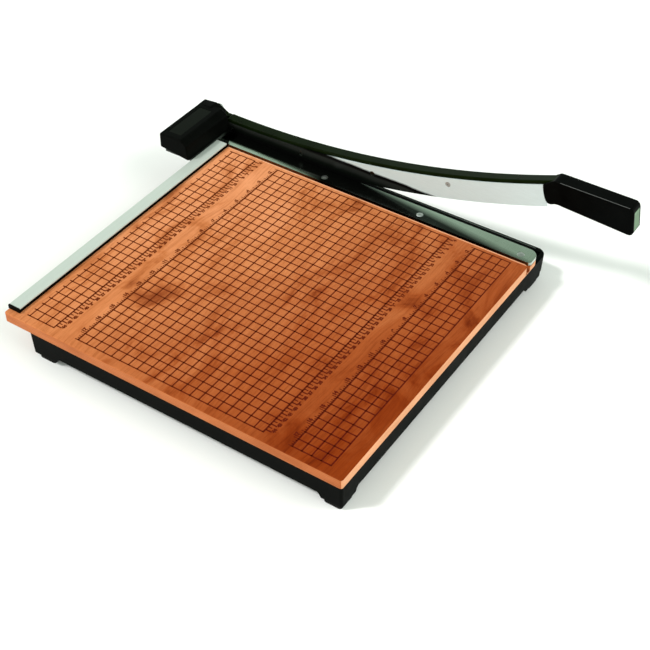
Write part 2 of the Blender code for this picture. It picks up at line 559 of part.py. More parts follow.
def make_blade():
    outline = arc_band(BLADE_TOP, BLADE_EDGE, BLADE_REAR, BLADE_FRONT, 18, lean=0.38)
    blade = slab("moving_blade", outline, SIDE, BLADE_LEFT, BLADE_LEFT + BLADE_THICK, STEEL, ARM_PIVOT)
    for number, (y, z) in enumerate(BLADE_SCREWS, 1):
        place = (BLADE_LEFT, y, z)
        boolean(blade, countersink(f"blade_sink_{number}", place, (-1, 0, 0), 0.15, 0.07, 0.3, ARM_PIVOT))
        screw(f"blade_screw_{number}", place, (-1, 0, 0), 0.15, 0.07, 0.25, ZINC, ARM_PIVOT)


def grip_end(z):
    """Where the grip's front face, which leans back a little towards its top, is at a height."""
    return GRIP_FRONT + GRIP_LEAN * (z - 3.15)


def make_handle():
    """The moulded grip, its bolster over the blade's end, and the plug in its front face."""
    foot = -18.02
    outline = [(foot, 4.06), (foot - 0.06, 3.72), (foot - 0.17, 3.36), (foot - 0.33, 3.13), (foot - 0.52, 3.08),
               (foot - 0.70, 3.16), (foot - 0.88, 3.21), (foot - 1.20, 3.18), (GRIP_FRONT + 0.26, 2.98),
               (GRIP_FRONT + 0.06, 3.07), (grip_end(3.25), 3.25), (grip_end(4.30), 4.30),
               (grip_end(4.30) + 0.18, GRIP_TOP), (-18.90, GRIP_TOP), (-18.60, 4.495), (-18.54, 4.455)]
    grip = slab("handle_grip", outline, SIDE, GRIP_LEFT, GRIP_RIGHT, BLACK, ARM_PIVOT)
    bevel(grip, 0.10, 3)
    g = GAP
    slot = [(-17.5, on_arc(ARM_RADIUS, -17.5)), (-18.45, 4.22), (-18.62, TANG_HIGH + g), (TANG_FRONT - g, TANG_HIGH + g),
            (TANG_FRONT - g, TANG_LOW - g), (-18.90, TANG_LOW - g), (-17.5, 3.05)]
    boolean(grip, slab("grip_tang_slot", slot, SIDE, TANG_LEFT - g, TANG_RIGHT + g, None, ARM_PIVOT))
    lowest = WEB_RADIUS + g
    web_room = arc_band(ARM_RADIUS + 0.05, lowest, -17.0, -18.30 - g, 6)
    boolean(grip, slab("grip_web_slot", web_room, SIDE, ARM_LEFT - g, ARM_LEFT + WEB_THICK + g, None, ARM_PIVOT))
    flange_room = arc_band(ARM_RADIUS - g, ARM_RADIUS + FLANGE_THICK + g, -17.0, -18.55 - g, 8)
    boolean(grip, slab("grip_flange_slot", flange_room, SIDE, ARM_LEFT - g, ARM_RIGHT + g, None, ARM_PIVOT))
    blade_room = arc_band(BLADE_TOP - 0.1, BLADE_EDGE + g, -17.0, BLADE_FRONT - g, 6, lean=0.40)
    boolean(grip, slab("grip_blade_slot", blade_room, SIDE, BLADE_LEFT - g, BLADE_LEFT + BLADE_THICK + g, None,
                       ARM_PIVOT))
    for number, y in enumerate((-19.7, -21.6), 1):
        place = (GRIP_RIGHT, y, 3.80)
        sink = [(0, 0.02), (0.17, 0.02), (0.17, -0.09), (0.07 + g, -0.09), (0.07 + g, -0.60), (0, -0.60)]
        boolean(grip, turned(f"grip_screw_hole_{number}", sink, place, (1, 0, 0), None, ARM_PIVOT))
        screw(f"handle_screw_{number}", (GRIP_RIGHT - 0.08, y, 3.80), (1, 0, 0), 0.14, 0.07, 0.46, ZINC, ARM_PIVOT,
              flat=False)
    low, high = 3.22, 4.26
    recess = [(grip_end(low) + 0.09, low), (grip_end(high) + 0.09, high), (grip_end(high) - 0.2, high), (grip_end(low) - 0.2, low)]
    boolean(grip, slab("plug_recess", recess, SIDE, 0.06, 0.68, None, ARM_PIVOT))
    low, high = low + g, high - g
    insert = [(grip_end(low) + 0.09 - g, low), (grip_end(high) + 0.09 - g, high), (grip_end(high) + 0.01, high), (grip_end(low) + 0.01, low)]
    bevel(slab("handle_plug", insert, SIDE, 0.06 + g, 0.68 - g, PLUG, ARM_PIVOT), 0.02, 2)


make_table()
make_bed_strip()
make_base_frame()
make_feet()
make_fence()
make_bracket()
make_shaft()
make_spring()
make_housing()
make_arm()
make_blade()
make_handle()
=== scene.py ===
"""Guillotine paper cutter: the visual model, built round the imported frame.

Lengths are in inches in bench axes: X = 0 is the cutting edge, Y = 0 the front of the fence,
Z = 0 the table's top. at() turns them into metres in the row frame.
"""

import json
import math

import bmesh
import bpy
from mathutils import Matrix, Vector


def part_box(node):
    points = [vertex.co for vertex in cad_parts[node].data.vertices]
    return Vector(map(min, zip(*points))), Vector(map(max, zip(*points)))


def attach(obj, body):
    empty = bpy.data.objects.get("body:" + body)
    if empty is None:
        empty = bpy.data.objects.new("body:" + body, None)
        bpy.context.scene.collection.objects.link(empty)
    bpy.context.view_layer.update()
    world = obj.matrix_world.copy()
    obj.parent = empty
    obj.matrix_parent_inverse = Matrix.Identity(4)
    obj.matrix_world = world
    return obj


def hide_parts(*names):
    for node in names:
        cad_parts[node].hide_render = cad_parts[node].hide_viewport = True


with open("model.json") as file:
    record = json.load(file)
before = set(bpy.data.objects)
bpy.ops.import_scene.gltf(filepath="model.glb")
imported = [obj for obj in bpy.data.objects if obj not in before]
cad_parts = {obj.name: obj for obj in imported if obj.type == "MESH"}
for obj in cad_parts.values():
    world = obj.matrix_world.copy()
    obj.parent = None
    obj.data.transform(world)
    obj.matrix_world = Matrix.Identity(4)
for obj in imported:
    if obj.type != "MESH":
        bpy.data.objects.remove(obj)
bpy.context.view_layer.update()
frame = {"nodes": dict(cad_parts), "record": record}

INCH = 0.0254
STRIP_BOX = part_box("bed_strip")
TABLE_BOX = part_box("wood_table")
FENCE_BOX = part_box("fence_base")
ZERO = Vector((STRIP_BOX[1][0], FENCE_BOX[0][1], TABLE_BOX[1][2]))


def at(x, y, z):
    """A bench place in inches, as metres in the row frame."""
    return ZERO + Vector((x, y, z)) * INCH


def link(made):
    bpy.context.scene.collection.objects.link(made)


def inches(node):
    """A CAD node's lowest and highest corner, in bench inches."""
    low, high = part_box(node)
    return (Vector(low) - ZERO) / INCH, (Vector(high) - ZERO) / INCH


# ---- materials

class Shader:
    """A Principled material whose nodes are added one call at a time."""

    def __init__(self, name, colour=(0.5, 0.5, 0.5), roughness=0.5, metallic=0.0, **sockets):
        self.material = bpy.data.materials.new(name)
        self.material.use_nodes = True
        self.tree = self.material.node_tree
        self.surface = self.tree.nodes["Principled BSDF"]
        self.surface.inputs["Base Color"].default_value = (*colour, 1)
        self.surface.inputs["Roughness"].default_value = roughness
        self.surface.inputs["Metallic"].default_value = metallic
        for socket, value in sockets.items():
            self.surface.inputs[socket.replace("_", " ")].default_value = value
        self.material.diffuse_color = (*colour, 1)

    def add(self, kind, inputs=None, **settings):
        made = self.tree.nodes.new(kind)
        for name, value in settings.items():
            setattr(made, name, value)
        for name, value in (inputs or {}).items():
            if isinstance(value, bpy.types.NodeSocket):
                self.tree.links.new(value, made.inputs[name])
            else:
                made.inputs[name].default_value = value
        return made

    def place(self, scale=(1, 1, 1)):
        coordinates = self.add("ShaderNodeTexCoord")
        return self.add("ShaderNodeMapping", {"Vector": coordinates.outputs["Object"],
                                              "Scale": scale}).outputs[0]

    def noise(self, vector, scale, detail=3.0, roughness=0.5, distortion=0.0):
        return self.add("ShaderNodeTexNoise", {"Vector": vector, "Scale": scale, "Detail": detail,
                                               "Roughness": roughness, "Distortion": distortion}).outputs["Fac"]

    def ramp(self, factor, stops, ease="LINEAR"):
        made = self.add("ShaderNodeValToRGB", {"Fac": factor})
        made.color_ramp.interpolation = ease
        elements = made.color_ramp.elements
        while len(elements) < len(stops):
            elements.new(0.5)
        for element, (position, colour) in zip(elements, stops):
            element.position = position
            element.color = (*colour, 1) if len(colour) == 3 else colour
        return made.outputs["Color"]

    def grey(self, factor, low, high, start=0.0, end=1.0):
        return self.add("ShaderNodeMapRange", {"Value": factor, "From Min": start, "From Max": end,
                                               "To Min": low, "To Max": high}).outputs[0]

    def blend(self, factor, first, second, mode="MIX"):
        made = self.add("ShaderNodeMix", data_type="RGBA", blend_type=mode)
        for index, value in ((0, factor), (6, first), (7, second)):
            if isinstance(value, bpy.types.NodeSocket):
                self.tree.links.new(value, made.inputs[index])
            elif index == 0:
                made.inputs[0].default_value = value
            else:
                made.inputs[index].default_value = (*value, 1)
        return made.outputs[2]

    def sum(self, first, second, operation="ADD"):
        return self.add("ShaderNodeMath", {0: first, 1: second}, operation=operation).outputs[0]

    def to(self, socket, value):
        self.tree.links.new(value, self.surface.inputs[socket])
        return self

    def bump(self, height, depth, strength=1.0):
        made = self.add("ShaderNodeBump", {"Height": height, "Strength": strength, "Distance": depth})
        return self.to("Normal", made.outputs[0])


def along(s, axis_weights, start):
    """A ramp over the part: the bench position times weights per inch, less its value at start."""
    scale = Vector(axis_weights) / INCH
    shift = -scale.dot(at(*start))
    position = s.add("ShaderNodeTexCoord").outputs["Object"]
    product = s.add("ShaderNodeVectorMath", {0: position, 1: tuple(scale)}, operation="DOT_PRODUCT")
    return s.sum(product.outputs["Value"], shift)


WHITE = (1, 1, 1)
# Where a painted highlight lies on the board's top, along the groove's arris.
ARRIS_LEFT, ARRIS_RIGHT = -1.29, -1.20


def towards_handle(s):
    """0 by the rear right of the grid, rising to 1 by the front left of the board: the ramp of painted shade on
    the wood and its print.
    """
    return along(s, (-0.0195, -0.0440, 0), (-3.0, -1.3, 0))


def wood_material():
    """Laminated board under dark clear oil: long grain along X, with clouds of darker figure, painted
    shade that makes it redder and deeper towards the handle, and a painted highlight by the groove."""
    s = Shader("oiled_wood", roughness=0.38, Specular_IOR_Level=0.04)
    wander = s.noise(s.place((1, 1, 1)), 5.0, 2.0)
    bent = s.add("ShaderNodeVectorMath", {0: s.place((1, 1, 1)), 1: s.ramp(wander, [
        (0, (0, 0, 0)), (1, (0, 0.05, 0))])}, operation="ADD").outputs[0]
    figure = s.add("ShaderNodeMapping", {"Vector": bent, "Scale": (11, 22, 30),
                                         "Rotation": (0, 0, 0.22)}).outputs[0]
    patches = s.noise(figure, 1.0, 4.0, 0.58, 0.8)
    streak_space = s.add("ShaderNodeMapping", {"Vector": bent, "Scale": (14, 330, 330)}).outputs[0]
    streaks = s.noise(streak_space, 1.0, 6.0, 0.65, 0.3)
    pores = s.noise(s.place((90, 2300, 2300)), 1.0, 2.0, 0.6)
    # Painted shade: the tone darkens towards the handle, mixed with the random figure.
    uneven = s.sum(towards_handle(s), s.grey(patches, 0.16, -0.12, 0.30, 0.70))
    tone = s.ramp(uneven, [(0.0, (0.690, 0.275, 0.122)), (0.30, (0.545, 0.186, 0.066)),
                           (0.69, (0.350, 0.082, 0.020)), (1.0, (0.225, 0.034, 0.004))])
    clouds = s.ramp(patches, [(0.26, (0.42, 0.25, 0.14)), (0.40, (0.88, 0.80, 0.70)), (0.46, WHITE)])
    lines = s.ramp(streaks, [(0.32, (0.76, 0.66, 0.56)), (0.52, WHITE), (0.72, (1.08, 1.06, 1.04))])
    specks = s.ramp(pores, [(0.34, (0.82, 0.74, 0.68)), (0.46, WHITE)])
    colour = s.blend(0.9, s.blend(0.8, tone, clouds, "MULTIPLY"), lines, "MULTIPLY")
    # Painted highlight: a light band on the top by the groove stands in for light on its arris.
    past_arris = s.grey(along(s, (1, 0, 0), (ARRIS_LEFT, 0, 0)), 0, 0.8, -0.03, 0.02)
    before_groove = s.grey(along(s, (1, 0, 0), (ARRIS_RIGHT, 0, 0)), 1, 0, 0.0, 0.01)
    margin = s.sum(past_arris, before_groove, "MULTIPLY")
    s.to("Base Color", s.blend(margin, s.blend(0.7, colour, specks, "MULTIPLY"), (0.76, 0.36, 0.20)))
    s.to("Roughness", s.grey(streaks, 0.46, 0.32, 0.3, 0.7))
    s.bump(s.sum(streaks, pores), 0.00006, 0.5)
    return s.material


def wood_edge_material(name, dark, light):
    """The board's sides: thin laminations under the same oil, made twice as lit and shaded copies."""
    s = Shader(name, roughness=0.42, Specular_IOR_Level=0.12)
    plies = s.add("ShaderNodeTexWave", {"Vector": s.place((1, 1, 1)), "Scale": 120.0, "Distortion": 1.2,
                                        "Detail": 2.0, "Detail Scale": 6.0},
                  wave_type="BANDS", bands_direction="Z").outputs["Fac"]
    cells = s.noise(s.place((500, 500, 1500)), 1.0, 3.0, 0.6)
    drift = s.noise(s.place((14, 14, 60)), 1.0, 3.0, 0.55)
    tone = s.ramp(drift, [(0.3, dark), (0.7, light)])
    ply = s.ramp(plies, [(0.0, (0.80, 0.72, 0.64)), (0.35, WHITE), (1.0, (1.06, 1.04, 1.0))])
    speck = s.ramp(cells, [(0.3, (0.80, 0.72, 0.66)), (0.5, WHITE)])
    s.to("Base Color", s.blend(0.6, s.blend(0.7, tone, ply, "MULTIPLY"), speck, "MULTIPLY"))
    s.bump(s.sum(plies, cells), 0.00008, 0.5)
    return s.material


def strip_material():
    """The bed strip: polished steel, with the photo's dark reflection painted on by position. It
    leaves a bright sliver beside the board at the rear, and narrows towards the board in front."""
    s = Shader("polished_steel", (0.6, 0.7, 0.6), 0.15, 1.0)
    scratches = s.noise(s.place((20, 2600, 2600)), 1.0, 4.0, 0.7)
    haze = s.noise(s.place((24, 24, 24)), 1.0, 4.0, 0.6)
    across = s.grey(along(s, (1, -0.1226, 0), (-0.07, -10.6, 0)), 1, 0, -0.30, 0.22)
    past_sliver = s.grey(along(s, (0, -1, 0), (0, -4.9, 0)), 0, 0.97, 0.0, 1.0)
    beside_sliver = s.grey(along(s, (1, 0, 0), (-0.80, 0, 0)), 0, 0.97, 0.0, 0.12)
    outside_sliver = s.sum(past_sliver, beside_sliver, "MAXIMUM")
    steel = s.blend(s.grey(scratches, 0, 1, 0.3, 0.7), (0.58, 0.66, 0.58), (0.64, 0.72, 0.64))
    s.to("Base Color", s.blend(s.sum(across, outside_sliver, "MULTIPLY"), steel, (0.010, 0.014, 0.011)))
    s.to("Roughness", s.sum(s.grey(haze, 0.13, 0.19, 0.3, 0.7), s.grey(scratches, 0.0, 0.04, 0.3, 0.7)))
    s.bump(scratches, 0.000002, 0.4)
    return s.material


def steel_material(name, colour, roughness, grind=(20, 2600, 2600), depth=0.000006, metallic=1.0):
    """Ground steel: fine scratches one way, a little haze, a slight tint."""
    s = Shader(name, colour, roughness, metallic)
    scratches = s.noise(s.place(grind), 1.0, 4.0, 0.7)
    haze = s.noise(s.place((24, 24, 24)), 1.0, 4.0, 0.6)
    dark = tuple(c * 0.92 for c in colour)
    s.to("Base Color", s.blend(s.grey(scratches, 0, 1, 0.3, 0.7), dark, colour))
    s.to("Roughness", s.sum(s.grey(haze, roughness * 0.85, roughness * 1.2, 0.3, 0.7),
                            s.grey(scratches, 0.0, 0.04, 0.3, 0.7)))
    s.bump(scratches, depth, 0.4)
    return s.material


def blade_material():
    """The knife's inner face: bright ground steel above, with the photo's dark reflection painted
    on below by height, and a dull grey band within it."""
    s = Shader("blade_steel", (0.7, 0.7, 0.7), 0.34, 0.15, Specular_IOR_Level=0.05)
    scratches = s.noise(s.place((1800, 60, 1800)), 1.0, 4.0, 0.7)
    waver = s.grey(s.noise(s.place((30, 30, 30)), 1.0, 3.0, 0.6), -0.03, 0.03, 0.3, 0.7)
    height = s.sum(along(s, (0, 0, 1), (0, 0, 0)), waver)
    bright = s.blend(s.grey(scratches, 0, 1, 0.3, 0.7), (0.58, 0.66, 0.66), (0.65, 0.74, 0.74))
    band = s.ramp(height, [(0.10, (0.001, 0.001, 0.001)), (0.30, (0.002, 0.003, 0.002)),
                           (0.58, (0.016, 0.018, 0.016)), (0.68, (0.018, 0.020, 0.018)),
                           (0.80, (0.001, 0.001, 0.001))], "EASE")
    s.to("Base Color", s.blend(s.grey(height, 0, 1, 0.90, 1.00), band, bright))
    s.to("Roughness", s.grey(scratches, 0.30, 0.40, 0.3, 0.7))
    s.bump(scratches, 0.000006, 0.4)
    return s.material


def moulded_material(name, colour, roughness, grain=1500, depth=0.00005, shine=0.018):
    """Moulded plastic or enamel: a fine stipple, uneven gloss, and a little dust in the tone."""
    s = Shader(name, colour, roughness, Specular_IOR_Level=shine)
    stipple = s.noise(s.place((grain,) * 3), 1.0, 2.0, 0.5)
    cloud = s.noise(s.place((40, 40, 40)), 1.0, 3.0, 0.6)
    light = tuple(min(1.0, c * 1.8 + 0.0006) for c in colour)
    s.to("Base Color", s.blend(s.grey(cloud, 0, 0.8, 0.35, 0.75), colour, light))
    s.to("Roughness", s.grey(cloud, roughness * 0.85, roughness * 1.2, 0.3, 0.7))
    s.bump(stipple, depth, 0.35)
    return s.material


def rubber_material():
    s = Shader("rubber", (0.006, 0.006, 0.006), 0.85, Specular_IOR_Level=0.1)
    dust_and_sheen = s.noise(s.place((300, 300, 300)), 1.0, 4.0, 0.65)
    s.to("Base Color", s.ramp(dust_and_sheen, [(0.35, (0.004, 0.004, 0.004)), (0.75, (0.014, 0.014, 0.013))]))
    s.bump(dust_and_sheen, 0.0001, 0.6)
    return s.material


def ink_material():
    s = Shader("printed_ink", (0.09, 0.006, 0.001), 0.6, Specular_IOR_Level=0.05)
    fade = s.noise(s.place((700, 700, 700)), 1.0, 3.0, 0.6)
    # Painted shade: the ink darkens towards the handle as the wood does.
    tone = s.ramp(towards_handle(s), [(0.0, (0.130, 0.022, 0.003)), (1.0, (0.080, 0.002, 0.0005))])
    s.to("Base Color", s.blend(s.grey(fade, 0.3, 0.0, 0.3, 0.6), tone, (0.20, 0.045, 0.012)))
    return s.material


MATERIALS = {
    "wood": wood_material(),
    # Painted light and shade: a lit copy of the side wood for the front and rear faces, a shaded copy for the
    # rest.
    "wood_lit_side": wood_edge_material("oiled_wood_lit_side", (0.60, 0.270, 0.130), (0.740, 0.360, 0.190)),
    "wood_shaded_end": wood_edge_material("oiled_wood_shaded_end", (0.37, 0.095, 0.022), (0.500, 0.150, 0.045)),
    "ink": ink_material(),
    "strip": strip_material(),
    "spring": steel_material("spring_steel", (0.56, 0.58, 0.56), 0.20, grind=(900, 900, 900)),
    "blade": blade_material(),
    "edge": steel_material("ground_edge", (0.80, 0.82, 0.80), 0.12, grind=(2400, 2400, 200)),
    "zinc": steel_material("zinc_steel", (0.62, 0.63, 0.62), 0.30, grind=(600, 600, 600), depth=0.00001),
    "pale_zinc": steel_material("pale_zinc", (0.36, 0.38, 0.36), 0.40, grind=(600, 600, 600),
                                depth=0.00001, metallic=0.3),
    # A darker zinc: on the blade's first three screws it is painted shade; it also colours the pivot bracket and
    # the bracket and cover screws.
    "dark_zinc": steel_material("darkened_zinc", (0.050, 0.055, 0.050), 0.26, grind=(600, 600, 600),
                                depth=0.00001),
    "aluminium": steel_material("aluminium", (0.56, 0.62, 0.57), 0.42, grind=(12, 3200, 3200), depth=0.00001,
                                metallic=0.25),
    "bronze": steel_material("bronze", (0.50, 0.33, 0.14), 0.42, grind=(900, 900, 900), depth=0.00002),
    "plastic": moulded_material("black_plastic", (0.0012, 0.0015, 0.0012), 0.42),
    "grip": moulded_material("grip_plastic", (0.0008, 0.0010, 0.0009), 0.34, grain=1900, depth=0.00004,
                             shine=0.02),
    "label": moulded_material("label_black", (0.0016, 0.0026, 0.0012), 0.36, grain=700, depth=0.00002,
                              shine=0.05),
    # Painted highlight: a light grey for the faces of the frame's rim line.
    "dust_and_sheen": moulded_material("painted_rim_highlight", (0.15, 0.18, 0.16), 0.50, grain=900),
    # Painted highlight: a light grey for the grip's arris faces on its left side.
    "grip_highlight": moulded_material("painted_grip_highlight", (0.12, 0.125, 0.12), 0.40, grain=900),
    "paint": moulded_material("black_paint", (0.0024, 0.0058, 0.0007), 0.30, grain=900, depth=0.00002,
                              shine=0.035),
    "plug": moulded_material("grey_green_plastic", (0.135, 0.200, 0.135), 0.50),
    "rubber": rubber_material(),
}


# ---- geometry

def along_z(u, v, w):
    """Outline points are (X, Y) and the thickness runs along Z."""
    return (u, v, w)


def along_x(u, v, w):
    """Outline points are (Y, Z) and the thickness runs along X."""
    return (w, u, v)


def along_y(u, v, w):
    """Outline points are (X, Z) and the thickness runs along Y."""
    return (u, w, v)


ROUND_OVER = math.radians(28)


def rounded(shape, width, segments):
    """Rounds every edge of a bmesh where its faces turn by more than ROUND_OVER."""
    edges = [e for e in shape.edges if e.is_manifold and e.calc_face_angle(0) > ROUND_OVER]
    bmesh.ops.bevel(shape, geom=edges, offset=width, segments=segments, profile=0.5, affect="EDGES",
                    clamp_overlap=True)


def prism(outline, plane, low, high, width=0.0, segments=3):
    """A bmesh of a flat outline given a thickness, in bench inches, its edges rounded."""
    shape = bmesh.new()
    rings = [[shape.verts.new(plane(u, v, w)) for u, v in outline] for w in (low, high)]
    count = len(outline)
    shape.faces.new(rings[0])
    shape.faces.new(rings[1])
    for i in range(count):
        j = (i + 1) % count
        shape.faces.new((rings[0][i], rings[0][j], rings[1][j], rings[1][i]))
    bmesh.ops.recalc_face_normals(shape, faces=shape.faces)
    if width:
        rounded(shape, width, segments)
    return shape


def block(low, high, width=0.0, segments=3):
    outline = [(low[0], low[1]), (high[0], low[1]), (high[0], high[1]), (low[0], high[1])]
    return prism(outline, along_z, low[2], high[2], width, segments)


def lathe(profile, place, direction, sides=40):
    """A bmesh of (radius, height) points turned about an axis through a bench point."""
    shape = bmesh.new()
    turn = Vector((0, 0, 1)).rotation_difference(Vector(direction)).to_matrix()
    closed = profile[0][0] > 0 and profile[-1][0] > 0
    rings = []
    for radius, height in profile:
        if radius == 0:
            rings.append([shape.verts.new(Vector(place) + turn @ Vector((0, 0, height)))])
        else:
            angles = [2 * math.pi * k / sides for k in range(sides)]
            rings.append([shape.verts.new(Vector(place) + turn @ Vector((
                radius * math.cos(angle), radius * math.sin(angle), height))) for angle in angles])
    pairs = list(zip(rings, rings[1:])) + ([(rings[-1], rings[0])] if closed else [])
    for first, second in pairs:
        for k in range(sides):
            n = (k + 1) % sides
            ring = [first[k % len(first)], first[n % len(first)],
                    second[n % len(second)], second[k % len(second)]]
            corners = list(dict.fromkeys(ring))
            if len(corners) > 2:
                shape.faces.new(corners)
    bmesh.ops.recalc_face_normals(shape, faces=shape.faces)
    return shape


def to_object(name, shape):
    """The bmesh, in bench inches, as an object in row metres."""
    for vertex in shape.verts:
        vertex.co = at(*vertex.co)
    mesh = bpy.data.meshes.new(name)
    shape.to_mesh(mesh)
    shape.free()
    made = bpy.data.objects.new(name, mesh)
    link(made)
    return made


def drill(radius, place, direction, above, below, sides):
    """A cylinder to subtract, from above a bench point to below it, along a direction."""
    profile = [(0, above), (radius, above), (radius, -below), (0, -below)]
    return ("DIFFERENCE", lathe(profile, place, direction, sides))


def screw_seat(place, direction, mouth, throat, proud, rim, floor, reach):
    """A screw's seat to subtract: straight to the rim, in to the floor, then the throat."""
    profile = [(0, proud), (mouth, proud), (mouth, -rim), (throat, -floor), (throat, -reach), (0, -reach)]
    return ("DIFFERENCE", lathe(profile, place, direction, 40))


def carve(made, steps):
    """Applies Booleans to an object: steps are (operation, bmesh)."""
    tools = []
    for number, (operation, shape) in enumerate(steps):
        tool = to_object(f"{made.name}_tool_{number}", shape)
        modifier = made.modifiers.new("carve", "BOOLEAN")
        modifier.operation = operation
        modifier.solver = "EXACT"
        modifier.object = tool
        tools.append(tool)
    bpy.context.view_layer.update()
    result = bpy.data.meshes.new_from_object(made.evaluated_get(bpy.context.evaluated_depsgraph_get()))
    made.modifiers.clear()
    made.data = result
    for tool in tools:
        bpy.data.objects.remove(tool, do_unlink=True)
    return made


def finish(made, look, body, replaces=(), sharp=32):
    """Shades, paints and hands a piece to its body."""
    look = [look] if isinstance(look, str) else look
    made.data.materials.clear()
    for name in look:
        made.data.materials.append(MATERIALS[name])
    made.data.shade_smooth()
    made.data.set_sharp_from_angle(angle=math.radians(sharp))
    weighted = made.modifiers.new("shading", "WEIGHTED_NORMAL")
    weighted.keep_sharp = True
    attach(made, body)
    if replaces:
        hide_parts(*replaces)
    return made


def piece(name, shape, look, body, replaces=(), cuts=(), sharp=32):
    made = to_object(name, shape)
    if cuts:
        carve(made, cuts)
    return finish(made, look, body, replaces, sharp)


def arc(middle, radius, start, end, steps):
    angles = [math.radians(start + (end - start) * i / steps) for i in range(steps + 1)]
    return [(middle[0] + radius * math.cos(a), middle[1] + radius * math.sin(a)) for a in angles]


def rounded_plan(left, right, front, rear, radii, steps=12):
    """A rectangle with rounded corners; radii run front left, front right, rear right, rear left."""
    fl, fr, rr, rl = radii
    return (arc((left + fl, front + fl), fl, 180, 270, steps)
            + arc((right - fr, front + fr), fr, 270, 360, steps)
            + arc((right - rr, rear - rr), rr, 0, 90, steps)
            + arc((left + rl, rear - rl), rl, 90, 180, steps))


# ---- measures of the frame

GAP = 0.012
SHAFT_BORE = 0.172
ARC_Y, ARC_Z, ARM_RADIUS = 0.30, 50.75, 50.0
FLANGE_THICK, FLANGE_FRONT = 0.16, -18.55
WEB_THICK, WEB_RADIUS, WEB_FRONT = 0.19, 50.86, -18.30
TANG_LEFT, TANG_RIGHT, TANG_FRONT, TANG_LOW, TANG_HIGH = 0.25, 0.50, -22.20, 3.46, 4.14
BLADE_REAR, BLADE_FRONT, BLADE_BACK_RADIUS, BLADE_EDGE_RADIUS = 1.00, -18.02, 50.19, 51.38
BLADE_LEAN, GRIND_RADIUS = 0.38, 51.20
HANDLE_SCREWS, HANDLE_SCREW_Z = (-19.7, -21.6), 3.80
PIVOT = frame["record"]["behaviour"]["joints"][0]["pos_m"]
PIVOT_Y, PIVOT_Z = [(PIVOT[i] - ZERO[i]) / INCH for i in (1, 2)]
TABLE_LOW, TABLE_HIGH = inches("wood_table")
STRIP_LOW, STRIP_HIGH = inches("bed_strip")
FRAME_LOW, FRAME_HIGH = inches("base_frame")
RULE_LOW, RULE_HIGH = inches("fence_rule")
GRIP_LOW, GRIP_HIGH = inches("handle_grip")
COVER_LOW, COVER_HIGH = inches("housing_cover")
BLADE_LOW, BLADE_HIGH = inches("moving_blade")
ARM_LOW, ARM_HIGH = inches("blade_arm")


def on_arc(radius, y):
    """The height at which an arc of the arm passes over a place along the table."""
    return ARC_Z - math.sqrt(radius ** 2 - (y - ARC_Y) ** 2)


def arc_band(top, bottom, rear, front, steps=60, lean=0.0):
    """The outline between two arcs of the arm; lean carries the lower one further forward."""
    ends = [rear + (front - rear) * i / steps for i in range(steps + 1)]
    low_ends = [rear + (front - lean - rear) * i / steps for i in range(steps + 1)]
    return ([(y, on_arc(top, y)) for y in ends] + [(y, on_arc(bottom, y)) for y in reversed(low_ends)])


# ---- screws

def cross_recess(place, direction, reach, floor, turn=0.0):
    """Two crossed wedges that cut a driver recess into a head."""
    matrix = Vector((0, 0, 1)).rotation_difference(Vector(direction)).to_matrix()
    tools = []
    for quarter in (0, math.pi / 2):
        shape = bmesh.new()
        bmesh.ops.create_cube(shape, size=1.0)
        for vertex in shape.verts:
            taper = 1.0 if vertex.co.z > 0 else 0.45
            vertex.co = Vector((vertex.co.x * reach * 2 * taper, vertex.co.y * 0.030,
                                vertex.co.z * 0.2 + floor + 0.1))
        spin = matrix @ Matrix.Rotation(turn + quarter, 3, "Z")
        for vertex in shape.verts:
            vertex.co = Vector(place) + spin @ vertex.co
        tools.append(("DIFFERENCE", shape))
    return tools


def flat_screw(name, place, direction, head, body, look="zinc", turn=0.5):
    """A countersunk screw: a very slightly crowned head, its cone, and a short shank."""
    crown = [(head * t, -0.007 - 0.006 * t * t) for t in (0, 0.35, 0.7, 0.93)]
    profile = crown + [(head * 0.995, -0.017), (head * 0.97, -0.024), (head * 0.46, -0.055),
                       (head * 0.46, -0.2), (0, -0.2)]
    piece(name, lathe(profile, place, direction, 40), look, body, [name],
          cross_recess(place, direction, head * 0.58, -0.048, turn))


def pan_screw(name, place, direction, head, body, look="zinc", turn=0.3):
    """A domed screw with its cross recess, standing on a surface."""
    profile = [(0, 0.083), (head * 0.35, 0.080), (head * 0.65, 0.070), (head * 0.88, 0.048),
               (head * 0.985, 0.022), (head * 0.97, 0.006), (head * 0.5, 0.005), (head * 0.5, -0.2), (0, -0.2)]
    piece(name, lathe(profile, place, direction, 40), look, body, [name],
          cross_recess(place, direction, head * 0.55, 0.030, turn))


# ---- table

def make_table():
    left, right, front, rear = TABLE_LOW.x, TABLE_HIGH.x, TABLE_LOW.y, TABLE_HIGH.y
    thick = -TABLE_LOW.z
    outline = rounded_plan(left, right, front, rear, (0.14, 0.5, 0.10, 0.14))
    board = prism(outline, along_z, -thick, 0, 0.055, 5)
    groove_left, groove_right, flare = -1.22, STRIP_LOW.x, 0.25
    corner = arc((groove_left - flare, front + flare), flare, 0, -90, 14)
    groove = ([(groove_right, 1.5), (groove_left, 1.5)] + corner
              + [(groove_left - flare, -19), (groove_right, -19)])
    cuts = [("DIFFERENCE", prism(groove, along_z, -0.46, 0.5)),
            ("DIFFERENCE", block((groove_right - 0.02, -19, STRIP_LOW.z - GAP), (0.5, 1.5, 0.5)))]
    table = piece("table_board", board, ["wood", "wood_lit_side", "wood_shaded_end"], "base", ["wood_table"], cuts)
    # The top gets the wood, the front and rear faces the lit copy, the rest the shaded copy: painted light and
    # shade.
    for face in table.data.polygons:
        face.material_index = 0 if face.normal.z > 0.5 else 1 if abs(face.normal.y) > 0.6 else 2


